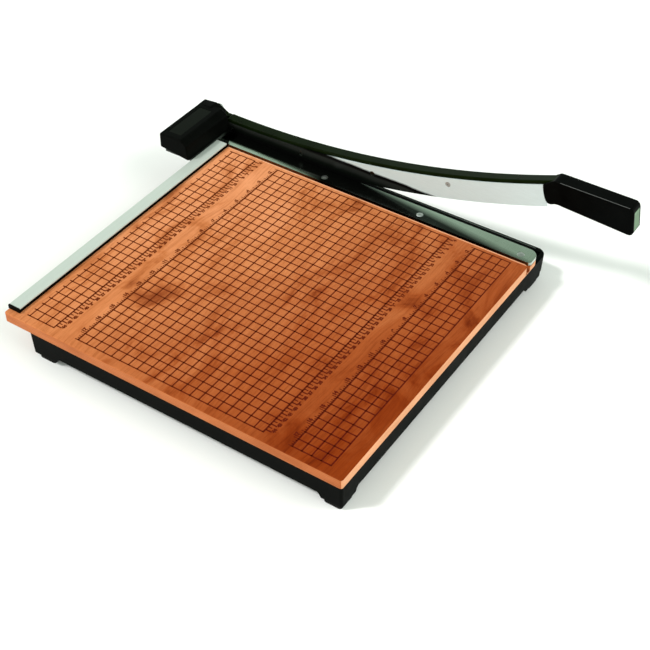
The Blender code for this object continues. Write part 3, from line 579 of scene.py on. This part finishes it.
PRINT_LEFT, PRINT_RIGHT, PRINT_REAR, PRINT_FRONT = -17.5, -1.5, -0.35, -17.5
SQUARE, SQUARES_ACROSS, CM_PER_INCH = 0.5, 32, 2.54
BANDS = [(-2.0, -3.5), (-14.0, -15.5)]
BAND_EDGES = [edge for band in BANDS for edge in band]
PRINT_LIFT, PRINT_THICK = 0.0005, 0.0016
LINE, HEAVY_LINE = 0.070, 1.25
CM_TICK, CM_TICK_WIDTH = 0.32, 0.075
HALF_CM_TICK, HALF_CM_TICK_WIDTH = 0.21, 0.060
EIGHTH_TICKS, EIGHTH_TICK, EIGHTH_TICK_WIDTH = {0: 0.26, 4: 0.20, 2: 0.15, 6: 0.15}, 0.11, 0.042
INCH_FIGURE, CM_FIGURE = 0.25, 0.23


def stroke(shape, x0, y0, x1, y1, width):
    """A printed straight line as a very thin raised bar."""
    dx, dy = x1 - x0, y1 - y0
    length = math.hypot(dx, dy)
    sx, sy = -dy / length * width / 2, dx / length * width / 2
    corners = [(x0 + sx, y0 + sy), (x0 - sx, y0 - sy), (x1 - sx, y1 - sy), (x1 + sx, y1 + sy)]
    low = [shape.verts.new((x, y, PRINT_LIFT)) for x, y in corners]
    high = [shape.verts.new((x, y, PRINT_LIFT + PRINT_THICK)) for x, y in corners]
    faces = [list(reversed(low)), high]
    faces += [[low[i], low[(i + 1) % 4], high[(i + 1) % 4], high[i]] for i in range(4)]
    for corners in faces:
        shape.faces.new(corners)


def make_grid():
    """The printed squares, and the centimetre and eighth inch ticks inside the two bands."""
    shape = bmesh.new()
    columns = [PRINT_LEFT + SQUARE * i for i in range(SQUARES_ACROSS + 1)]
    edges = [PRINT_REAR] + BAND_EDGES + [PRINT_FRONT]
    stretches = list(zip(edges[0::2], edges[1::2]))
    for rear, front in stretches:
        for x in columns:
            stroke(shape, x, rear, x, front, LINE)
        y = min(rear, -SQUARE)
        while y >= front - 0.001:
            width = LINE * (HEAVY_LINE if y in BAND_EDGES else 1)
            stroke(shape, PRINT_LEFT - LINE / 2, y, PRINT_RIGHT + LINE / 2, y, width)
            y -= SQUARE
    for rear, front in BANDS:
        centimetre = 1 / CM_PER_INCH
        for mark in range(3, 45):
            x = -mark * centimetre
            if PRINT_LEFT < x < PRINT_RIGHT:
                stroke(shape, x, rear, x, rear - CM_TICK, CM_TICK_WIDTH)
                half = x + centimetre / 2
                if half < PRINT_RIGHT:
                    stroke(shape, half, rear, half, rear - HALF_CM_TICK, HALF_CM_TICK_WIDTH)
        for mark in range(12, 141):
            x = -mark / 8
            if PRINT_LEFT <= x <= PRINT_RIGHT:
                tall = EIGHTH_TICKS.get(mark % 8, EIGHTH_TICK)
                stroke(shape, x, front, x, front + tall, EIGHTH_TICK_WIDTH)
    grid = to_object("table_grid", shape)
    finish(grid, "ink", "base", sharp=60)


def make_numerals():
    """Generic inch and centimetre numbers beside the two printed scales."""
    font_objects = []
    for rear, front in BANDS:
        for number in range(2, 18):
            font_objects.append(numeral(str(number), -number + 0.05, front + 0.09, INCH_FIGURE))
        for number in range(4, 45):
            font_objects.append(numeral(str(number), -number / CM_PER_INCH + 0.02, rear - 0.49, CM_FIGURE))
    bpy.context.view_layer.update()
    graph = bpy.context.evaluated_depsgraph_get()
    shape = bmesh.new()
    for text in font_objects:
        mesh = bpy.data.meshes.new_from_object(text.evaluated_get(graph))
        mesh.transform(text.matrix_world)
        shape.from_mesh(mesh)
        bpy.data.objects.remove(text, do_unlink=True)
    bmesh.ops.remove_doubles(shape, verts=shape.verts, dist=1e-6)
    mesh = bpy.data.meshes.new("table_numerals")
    shape.to_mesh(mesh)
    shape.free()
    made = bpy.data.objects.new("table_numerals", mesh)
    link(made)
    finish(made, "ink", "base", sharp=60)


def numeral(text, x, y, size):
    """A number as a thin raised text object, its left foot at a bench place on the table."""
    curve = bpy.data.curves.new("numeral", "FONT")
    curve.body = text
    curve.size = size * INCH
    curve.align_x = "LEFT"
    curve.align_y = "BOTTOM"
    curve.offset = 0.020 * INCH
    curve.extrude = PRINT_THICK / 2 * INCH
    curve.resolution_u = 3
    made = bpy.data.objects.new("numeral", curve)
    made.location = at(x, y, PRINT_LIFT + PRINT_THICK / 2)
    link(made)
    return made


# ---- bed strip and fence

BED_SCREWS = [(-0.63, -5.94), (-0.63, -11.80), (-0.63, -17.62)]


def make_bed_strip():
    left, front, rear = STRIP_LOW.x, STRIP_LOW.y, STRIP_HIGH.y
    outline = rounded_plan(left, 0, front, rear, (0.16, 0.5, 0.03, 0.03))
    strip = prism(outline, along_z, STRIP_LOW.z, 0, 0.008, 2)
    sinks = [screw_seat((x, y, 0), (0, 0, 1), 0.197, 0.107, 0.05, 0.006, 0.060, 0.4) for x, y in BED_SCREWS]
    piece("bed_strip_plate", strip, "strip", "base", ["bed_strip"], sinks)
    for number, (x, y) in enumerate(BED_SCREWS, 1):
        flat_screw(f"bed_screw_{number}", (x, y, 0), (0, 0, 1), 0.185, "base", turn=0.4 + number)


def make_fence():
    """A black base strip with a brushed rule on it, its rear edge lower, and two end caps."""
    left, right = RULE_LOW.x, RULE_HIGH.x
    base_top = inches("fence_base")[1].z
    profile = [(0.0, GAP), (0.0, base_top - 0.01), (0.01, base_top), (0.69, base_top), (0.69, GAP)]
    piece("fence_body", prism(profile, along_x, left, right, 0.006, 2), "plastic", "base", ["fence_base"])
    top = RULE_HIGH.z
    low = base_top + GAP * 0.2
    rule = [(0.018, low), (0.018, top - 0.030), (0.024, top - 0.012), (0.040, top), (0.652, top),
            (0.672, top - 0.008), (0.684, top - 0.026), (0.688, low)]
    piece("fence_plate", prism(rule, along_x, left + 0.002, right - 0.002, 0.004, 2), "aluminium", "base",
          ["fence_rule"])
    for side in ("left", "right"):
        low, high = inches(f"fence_cap_{side}")
        outline = rounded_plan(low.y, high.y, low.z, high.z, (0.015, 0.015, 0.07, 0.04), 6)
        piece(f"fence_end_{side}", prism(outline, along_x, low.x, high.x, 0.014, 3), "plastic", "base",
              [f"fence_cap_{side}"])
    for number, x in enumerate((-16.6, -9.4, -2.4), 1):
        pan_screw(f"fence_screw_{number}", (x, 0.35, TABLE_LOW.z + 0.13), (0, 0, -1), 0.14, "base", turn=number)


# ---- base frame

FRAME_SCREWS = [(-17.2, -15.2), (-17.2, -9.4), (-17.2, -3.6), (-9.0, -17.6), (-9.0, -1.5)]


def make_frame():
    """The moulded frame: an open middle, feet bosses, the blade's channel and its outer rim."""
    left, right, front, rear = FRAME_LOW.x, FRAME_HIGH.x, -18.34, -0.75
    top, bottom, edge, wall, ledge = FRAME_HIGH.z, FRAME_LOW.z, -1.55, 0.16, 0.12
    outline = rounded_plan(left, right, front, rear, (0.14, 0.5, 0.5, 0.14))
    shape = prism(outline, along_z, bottom, top)
    centre = Vector(((left + right) / 2, (front + rear) / 2))
    shrink = 1 - 0.08 / (right - left)
    for vertex in shape.verts:
        if vertex.co.z < (top + bottom) / 2:
            vertex.co.xy = centre + (vertex.co.xy - centre) * shrink
    rounded(shape, 0.05, 4)
    under = bottom - 0.3

    def relief(first, second):
        """The raised lower edge between two feet, with a soft shoulder at each boss."""
        start, end = (first, edge), (second, edge)
        left_curve = [(first - 0.24, under), (first - 0.22, bottom - 0.02), (first - 0.15, bottom + 0.12),
                      (first - 0.07, edge - 0.06), start]
        right_curve = [end, (second + 0.07, edge - 0.06), (second + 0.15, bottom + 0.12),
                       (second + 0.22, bottom - 0.02), (second + 0.24, under)]
        return left_curve + right_curve

    inner_right, channel_left, channel_right, channel_floor = -0.30, -0.12, 0.71, -1.66
    line_left, line_right = 0.84, 0.885
    cuts = [("DIFFERENCE", prism(relief(-17.05, -2.40), along_x, -19, 2)),
            ("DIFFERENCE", prism(relief(-16.60, -1.20), along_y, -19, 1)),
            ("DIFFERENCE", block((0.45, -19, under), (1.5, 1, edge))),
            ("DIFFERENCE", block((left + wall, front + wall, channel_floor),
                                 (inner_right, rear - wall, top - ledge))),
            ("DIFFERENCE", block((-16.7, -17.1, under), (-1.5, -2.0, 0.3))),
            ("DIFFERENCE", block((channel_left, -18.10, channel_floor), (channel_right, rear - 0.2, 0.3))),
            ("DIFFERENCE", block((channel_left, -1.4, -1.25), (channel_right, 0, 0.3))),
            ("DIFFERENCE", block((line_left, -17.75, top - 0.045), (line_right, -1.2, 0.3)))]
    cuts += [drill(0.105, (x, y, top), (0, 0, 1), 0.4, 0.4, 24) for x, y in FRAME_SCREWS + BED_SCREWS]
    moulding = piece("frame_moulding", shape, ["plastic", "dust_and_sheen"], "base", ["base_frame"], cuts)
    # The rim line's faces get the light grey as a painted highlight.
    line_low, line_high = at(0.835, 0, top - 0.06), at(0.89, 0, top - 0.002)
    for face in moulding.data.polygons:
        inside = line_low.x < face.center.x < line_high.x and line_low.z < face.center.z < line_high.z
        face.material_index = 1 if inside else 0
    for number, (x, y) in enumerate(FRAME_SCREWS, 1):
        pan_screw(f"frame_screw_{number}", (x, y, top - ledge), (0, 0, -1), 0.15, "base", turn=number)


def make_feet():
    """Rubber pads with a soft edge and three grooves across the sole."""
    for corner in ("front_left", "front_right", "rear_left", "rear_right"):
        low, high = inches(f"foot_{corner}")
        outline = rounded_plan(low.x, high.x, low.y, high.y, (0.14,) * 4, 8)
        grooves = []
        for part in (0.25, 0.5, 0.75):
            middle = low.y + (high.y - low.y) * part
            grooves.append(("DIFFERENCE", block((low.x - 1, middle - 0.025, low.z - 1),
                                                (high.x + 1, middle + 0.025, low.z + 0.03))))
        piece(f"pad_{corner}", prism(outline, along_z, low.z, high.z, 0.035, 4), "rubber", "base",
              [f"foot_{corner}"], grooves)


# ---- housing and pivot

def make_housing():
    """The hollow cover with its cheek beside the arm, and a plain panel let into its top."""
    left, right, cheek_right = COVER_LOW.x, -0.02, COVER_HIGH.x
    front, rear, top = 0.86, COVER_HIGH.y, 1.37
    skirt, low, high = COVER_LOW.y, COVER_LOW.z, 0.45
    outline = [(skirt, low), (rear, high), (rear, top - 0.04), (1.20, top), (front, 1.12)]
    under = low + (high - low) * (1.20 - skirt) / (rear - skirt)
    shape = prism(outline, along_x, left, right, 0.09, 5)
    cheek = [(1.20, under), (rear, high), (rear, top - 0.05), (1.82, top + 0.035), (1.20, 1.12)]
    shell = 0.08
    inner = [(skirt + shell, low - 0.4), (rear - shell, low - 0.4), (rear - shell, top - 0.04 - shell),
             (1.22, top - shell), (front + shell, 1.12 - shell)]
    cheek_inner = [(1.20 + shell, low - 0.4), (rear - shell, low - 0.4), (rear - shell, top - 0.16),
                   (1.82, top - 0.06), (1.20 + shell, 1.06)]
    slope = -0.04 / (rear - 1.20)

    def tilted(low_corner, high_corner):
        made = block(low_corner, high_corner, 0.03, 3)
        for vertex in made.verts:
            vertex.co.z += top + slope * (vertex.co.y - 1.20)
        return made

    steps = [("UNION", prism(cheek, along_x, -0.30, cheek_right, 0.06, 5)),
             ("DIFFERENCE", prism(inner, along_x, left + shell, right - shell)),
             ("DIFFERENCE", prism(cheek_inner, along_x, -0.35, cheek_right - shell)),
             drill(SHAFT_BORE, (cheek_right, PIVOT_Y, PIVOT_Z), (1, 0, 0), 0.5, 0.3, 48),
             ("DIFFERENCE", tilted((-3.34, 1.50, -0.040), (-0.54, 2.36, 0.3)))]
    piece("housing_moulding", shape, "plastic", "base", ["housing_cover"], steps)
    plate = tilted((-3.325, 1.515, -0.036), (-0.555, 2.345, -0.012))
    piece("housing_inlay", plate, "label", "base", ["label_plate"])


def make_pivot():
    """What shows of the pivot: the shaft's end, its nut and washers, and the works below."""
    low, high = inches("pivot_shaft")
    length = high.x - low.x
    radius = 0.16
    shaft = [(0, length), (radius - 0.035, length), (radius - 0.012, length - 0.010),
             (radius, length - 0.035), (radius, 0.07), (0.12, 0.068), (0.12, 0.037), (radius, 0.035),
             (radius, 0.012), (radius - 0.03, 0), (0, 0)]
    piece("shaft", lathe(shaft, (low.x, PIVOT_Y, PIVOT_Z), (1, 0, 0), 48), "zinc", "arm", ["pivot_shaft"])
    low, high = inches("pivot_nut")
    nut = prism(arc((PIVOT_Y, PIVOT_Z), 0.27, 0, 300, 5), along_x, low.x, high.x)
    dome = [(0, 0), (0.232, 0), (0.29, -0.034), (0.29, -0.3), (0, -0.3)]
    steps = [("INTERSECT", lathe(dome, (high.x, PIVOT_Y, PIVOT_Z), (1, 0, 0), 48)),
             drill(SHAFT_BORE, (high.x, PIVOT_Y, PIVOT_Z), (1, 0, 0), 1, 1, 48)]
    piece("nut", nut, "zinc", "arm", ["pivot_nut"], steps)
    for node, body, outer, tall in (("wave_washer", "base", 0.30, 0.030), ("hub_washer", "arm", 0.30, 0.030),
                                    ("spring_collar", "arm", 0.30, 0.22)):
        low, high = inches(node)
        ring = [(outer - 0.008, tall), (outer, tall - 0.008), (outer, 0.008), (outer - 0.008, 0),
                (SHAFT_BORE, 0), (SHAFT_BORE, tall)]
        piece(f"{node}_ring", lathe(ring, (low.x, PIVOT_Y, PIVOT_Z), (1, 0, 0), 48), "zinc", body, [node])
    for number in (1, 2):
        node = f"pivot_bushing_{number}"
        low, high = inches(node)
        tall = high.x - low.x
        ring = [(0.282, tall), (0.29, tall - 0.008), (0.29, tall - 0.043), (0.22, tall - 0.043), (0.22, 0.006),
                (0.214, 0), (SHAFT_BORE, 0), (SHAFT_BORE, tall)]
        piece(f"bushing_{number}", lathe(ring, (low.x, PIVOT_Y, PIVOT_Z), (1, 0, 0), 48), "bronze", "base", [node])
    make_spring()
    for number, x in enumerate((-3.1, -1.9, -0.7), 1):
        pan_screw(f"bracket_screw_{number}", (x, 0.812, -0.30), (0, 1, 0), 0.15, "base", "dark_zinc", number)
    for number, x in enumerate((-2.9, -0.8), 1):
        pan_screw(f"cover_screw_{number}", (x, 1.40, 0.10), (0, 0, -1), 0.13, "base", "dark_zinc", number)


def make_spring():
    """The torsion coil round the shaft: a swept wire with one straight leg."""
    steps, turns, wire, coil_radius = 28, 10, 0.036, 0.255
    left, right = -3.05, -0.84
    curve = bpy.data.curves.new("spring_coil", "CURVE")
    curve.dimensions = "3D"
    curve.bevel_depth = wire * INCH
    curve.bevel_resolution = 4
    curve.use_fill_caps = True
    points = [at(left, PIVOT_Y + coil_radius, 0.248)]
    for i in range(steps * turns + 1):
        angle = 2 * math.pi * i / steps
        points.append(at(left + (right - left) * i / (steps * turns),
                         PIVOT_Y + coil_radius * math.cos(angle), PIVOT_Z + coil_radius * math.sin(angle)))
    spline = curve.splines.new("POLY")
    spline.points.add(len(points) - 1)
    for point, place in zip(spline.points, points):
        point.co = (*place, 1)
    source = bpy.data.objects.new("spring_source", curve)
    link(source)
    bpy.context.view_layer.update()
    mesh = bpy.data.meshes.new_from_object(source.evaluated_get(bpy.context.evaluated_depsgraph_get()))
    bpy.data.objects.remove(source, do_unlink=True)
    coil = bpy.data.objects.new("spring_coil", mesh)
    link(coil)
    finish(coil, "spring", "base", ["torsion_spring"], sharp=50)


# ---- arm, blade, handle

BLADE_SCREWS = [(0.60, 0.17), (-3.95, 0.38), (-8.49, 0.84), (-12.95, 1.96)]


def make_arm():
    """The casting: a flange and web along the arc, a hub on the shaft, and a tang for the grip."""
    left, right, rear = ARM_LOW.x, ARM_HIGH.x, 0.98
    shape = prism(arc_band(ARM_RADIUS, ARM_RADIUS + FLANGE_THICK, rear, FLANGE_FRONT), along_x, left, right,
                  0.040, 4)
    web = prism(arc_band(ARM_RADIUS + 0.08, WEB_RADIUS, rear, WEB_FRONT), along_x, left, left + WEB_THICK,
                0.02, 2)
    neck_low = on_arc(WEB_RADIUS, 0.4)
    neck = [(0.20, neck_low), (0.20, 0.70), (1.30, 0.72)] + arc((PIVOT_Y, PIVOT_Z), 0.36, 118, -100, 28)
    neck += [(1.10, neck_low)]
    hub = prism(neck, along_x, 0.35, right - 0.001, 0.03, 3)
    root = prism([(0.22, neck_low + 0.01), (0.22, 0.69), (0.97, 0.69), (0.97, neck_low + 0.01)], along_x,
                 left + 0.002, right - 0.03, 0.02, 2)
    tang = prism([(-17.9, on_arc(ARM_RADIUS + 0.1, -17.9)), (-18.6, TANG_HIGH), (TANG_FRONT, TANG_HIGH),
                  (TANG_FRONT, TANG_LOW), (-18.9, TANG_LOW), (-17.9, 3.35)], along_x, TANG_LEFT, TANG_RIGHT)
    steps = [("UNION", web), ("UNION", hub), ("UNION", root), ("UNION", tang),
             drill(SHAFT_BORE, (0.5, PIVOT_Y, PIVOT_Z), (1, 0, 0), 1, 1, 48)]
    steps += [drill(0.084, (0.2, y, z), (1, 0, 0), 0.31, 0.31, 32) for y, z in BLADE_SCREWS]
    piece("arm_casting", shape, "paint", "arm", ["blade_arm"], steps)


def make_blade():
    """A thin curved plate; the lower margin of its inner face is ground to the cutting edge."""
    left, right = BLADE_LOW.x, BLADE_HIGH.x
    steps = 72
    rings = []
    shape = bmesh.new()
    rows = [(BLADE_BACK_RADIUS, left), (BLADE_BACK_RADIUS, right), (GRIND_RADIUS, right),
            (51.372, left + 0.012), (51.378, left), (51.0, left)]
    for i in range(steps + 1):
        share = i / steps
        ring = []
        for radius, x in rows:
            lean = BLADE_LEAN * (radius - BLADE_BACK_RADIUS) / (BLADE_EDGE_RADIUS - BLADE_BACK_RADIUS)
            y = BLADE_REAR + (BLADE_FRONT - lean - BLADE_REAR) * share
            ring.append(shape.verts.new((x, y, on_arc(radius, y))))
        rings.append(ring)
    count = len(rows)
    for first, second in zip(rings, rings[1:]):
        for i in range(count):
            j = (i + 1) % count
            shape.faces.new((first[i], first[j], second[j], second[i]))
    shape.faces.new(rings[0])
    shape.faces.new(rings[-1])
    bmesh.ops.recalc_face_normals(shape, faces=shape.faces)
    sinks = [screw_seat((left, y, z), (-1, 0, 0), 0.162, 0.082, 0.05, 0.006, 0.054, 0.3)
             for y, z in BLADE_SCREWS]
    blade = piece("blade_plate", shape, ["blade", "edge"], "arm", ["moving_blade"], sinks, sharp=8)
    middle = at(0.3, ARC_Y, ARC_Z)
    for face in blade.data.polygons:
        offset = face.center - middle
        radius = math.hypot(offset.y, offset.z) / INCH
        face.material_index = 1 if radius > 51.19 and face.normal.x > 0.02 else 0
    # The first three screws sit in the blade's painted dark reflection and get the darker zinc as painted shade;
    # the fourth, in the bright part, gets the pale zinc.
    looks = ("dark_zinc", "dark_zinc", "dark_zinc", "pale_zinc")
    for number, ((y, z), look) in enumerate(zip(BLADE_SCREWS, looks), 1):
        flat_screw(f"blade_screw_{number}", (left, y, z), (-1, 0, 0), 0.15, "arm", look, 0.9 * number)


def make_handle():
    """The moulded grip over the tang, with pockets for the arm and blade, its plug and screws."""
    left, right, front, top = GRIP_LOW.x, GRIP_HIGH.x, GRIP_LOW.y, GRIP_HIGH.z
    foot = BLADE_FRONT

    def end(z):
        """Where the leaning front face is at a height."""
        return front + 0.13 * (z - 3.15)

    outline = [(foot, 4.06), (foot - 0.06, 3.72), (foot - 0.11, 3.53), (foot - 0.17, 3.36), (foot - 0.24, 3.22),
               (foot - 0.33, 3.12), (foot - 0.43, 3.08), (foot - 0.53, 3.08), (foot - 0.62, 3.12),
               (foot - 0.72, 3.17), (foot - 0.84, 3.20), (foot - 0.98, 3.20), (foot - 1.20, 3.18),
               (front + 0.30, 2.98), (front + 0.16, 3.00), (front + 0.07, 3.07), (end(3.25) + 0.006, 3.22),
               (end(4.25), 4.25), (end(4.38) + 0.03, 4.38), (end(4.47) + 0.09, 4.47), (end(top) + 0.20, top),
               (-18.90, top), (-18.74, top - 0.006), (-18.64, top - 0.016), (-18.585, top - 0.034),
               (-18.54, 4.455)]
    shape = prism(outline, along_x, left, right, 0.13, 6)
    g = GAP
    slot = [(-17.5, on_arc(ARM_RADIUS, -17.5)), (-18.45, 4.22), (-18.62, TANG_HIGH + g),
            (TANG_FRONT - g, TANG_HIGH + g), (TANG_FRONT - g, TANG_LOW - g), (-18.90, TANG_LOW - g),
            (-17.5, 3.05)]
    web_room = arc_band(ARM_RADIUS + 0.05, WEB_RADIUS + g, -17.0, WEB_FRONT - g, 10)
    flange_room = arc_band(ARM_RADIUS - g, ARM_RADIUS + FLANGE_THICK + g, -17.0, FLANGE_FRONT - g, 14)
    blade_room = arc_band(50.09, BLADE_EDGE_RADIUS + g, -17.0, BLADE_FRONT - g, 10, 0.40)
    steps = [("DIFFERENCE", prism(slot, along_x, TANG_LEFT - g, TANG_RIGHT + g)),
             ("DIFFERENCE", prism(web_room, along_x, ARM_LOW.x - g, ARM_LOW.x + WEB_THICK + g)),
             ("DIFFERENCE", prism(flange_room, along_x, ARM_LOW.x - g, ARM_HIGH.x + g)),
             ("DIFFERENCE", prism(blade_room, along_x, BLADE_LOW.x - g, BLADE_HIGH.x + g))]
    steps += [screw_seat((right, y, HANDLE_SCREW_Z), (1, 0, 0), 0.175, 0.082, 0.1, 0.086, 0.086, 0.60)
              for y in HANDLE_SCREWS]
    plug_low, plug_high = inches("handle_plug")

    def leaning(outline, near, far, width=0.0):
        """A slab whose two faces follow the grip's leaning front face."""
        made = prism(outline, along_y, near, far, width, 3)
        for vertex in made.verts:
            vertex.co.y += end(vertex.co.z)
        return made

    recess = rounded_plan(plug_low.x - g, plug_high.x + g, plug_low.z - g, plug_high.z + g, (0.06,) * 4, 8)
    steps.append(("DIFFERENCE", leaning(recess, -0.3, 0.09)))
    moulding = piece("handle_moulding", shape, ["grip", "grip_highlight"], "arm", ["handle_grip"], steps)
    # The upper and lower arris faces on the grip's left side get the light grey as a painted highlight.
    near, far = at(0, -22.45, 0).y, at(0, -18.9, 0).y
    for face in moulding.data.polygons:
        normal = face.normal
        on_left = near < face.center.y < far and abs(normal.y) < 0.25 and normal.x < -0.5
        on_arris = 0.55 < normal.z < 0.75 or -0.5 < normal.z < -0.3
        face.material_index = 1 if on_left and on_arris else 0
    inset = rounded_plan(plug_low.x, plug_high.x, plug_low.z, plug_high.z, (0.055,) * 4, 8)
    piece("handle_inset", leaning(inset, 0.012, 0.09 - g, 0.014), "plug", "arm", ["handle_plug"])
    for number, y in enumerate(HANDLE_SCREWS, 1):
        pan_screw(f"handle_screw_{number}", (right - 0.08, y, HANDLE_SCREW_Z), (1, 0, 0), 0.14, "arm",
                  turn=number)


# ---- carried-over CAD nodes

def paint_frame_nodes():
    """Two CAD nodes are shown as they are, with a material of their own."""
    for node, look in (("pivot_bracket", "dark_zinc"), ("shaft_clip", "zinc")):
        made = frame["nodes"][node]
        made.data.materials.clear()
        made.data.materials.append(MATERIALS[look])


# ---- stage

def make_stage():
    """A pale floor, a soft sky, a key light with three fills, and the photo's camera."""
    scene = bpy.context.scene
    shape = bmesh.new()
    bmesh.ops.create_grid(shape, x_segments=1, y_segments=1, size=12.0)
    mesh = bpy.data.meshes.new("floor")
    shape.to_mesh(mesh)
    shape.free()
    floor = bpy.data.objects.new("floor", mesh)
    floor.location = (0, 0, -0.0002)
    link(floor)
    pale = Shader("pale_floor", (0.90, 0.905, 0.90), 0.9, Specular_IOR_Level=0.0)
    mesh.materials.append(pale.material)

    world = bpy.data.worlds.new("studio")
    scene.world = world
    world.use_nodes = True
    nodes, links = world.node_tree.nodes, world.node_tree.links
    direction = nodes.new("ShaderNodeTexCoord")
    split = nodes.new("ShaderNodeSeparateXYZ")
    sky = nodes.new("ShaderNodeValToRGB")
    links.new(direction.outputs["Generated"], split.inputs[0])
    links.new(split.outputs["Z"], sky.inputs[0])
    links.new(sky.outputs[0], nodes["Background"].inputs["Color"])
    stops = [(0.0, (0.85, 0.92, 0.88)), (0.54, (0.72, 0.86, 0.76)), (0.585, (0.52, 0.66, 0.55)),
             (0.635, (0.16, 0.22, 0.155)), (1.0, (0.13, 0.17, 0.13))]
    while len(sky.color_ramp.elements) < len(stops):
        sky.color_ramp.elements.new(0.5)
    for element, (position, colour) in zip(sky.color_ramp.elements, stops):
        element.position = position
        element.color = (*colour, 1)
    nodes["Background"].inputs["Strength"].default_value = 1.0

    def sun(name, direction, strength, angle, colour, glossy=True):
        light = bpy.data.lights.new(name, "SUN")
        light.energy = strength
        light.angle = math.radians(angle)
        light.color = colour
        made = bpy.data.objects.new(name, light)
        made.rotation_euler = Vector((0, 0, -1)).rotation_difference(Vector(direction)).to_euler()
        made.visible_glossy = glossy
        link(made)

    sun("key", (0.60, -0.57, -1.0), 1.95, 9, (1.0, 0.97, 0.97))
    sun("top_fill", (0.0, 0.0, -1.0), 0.45, 110, (0.98, 1.0, 0.98), glossy=False)
    sun("front_fill", (-0.25, 0.95, -0.55), 2.0, 50, (1.0, 0.98, 0.96), glossy=False)
    sun("left_fill", (1.0, 0.10, -0.35), 0.8, 60, (0.97, 1.0, 0.98), glossy=False)
    scene.view_settings.view_transform = "Standard"
    scene.view_settings.look = "None"
    scene.view_settings.exposure = 0.0
    scene.view_settings.gamma = 1.0

    camera_data = bpy.data.cameras.new("camera")
    camera_data.sensor_width = 36
    camera_data.lens = 75.0
    camera_data.clip_end = 60
    camera = bpy.data.objects.new("camera", camera_data)
    camera.location = at(-49.32, -38.36, 42.54)
    camera.rotation_euler = Vector((0.61615, 0.41000, -0.67251)).to_track_quat("-Z", "Y").to_euler()
    link(camera)
    scene.camera = camera


make_stage()
make_table()
make_grid()
make_numerals()
make_bed_strip()
make_fence()
make_frame()
make_feet()
make_housing()
make_pivot()
make_arm()
make_blade()
make_handle()
paint_frame_nodes()
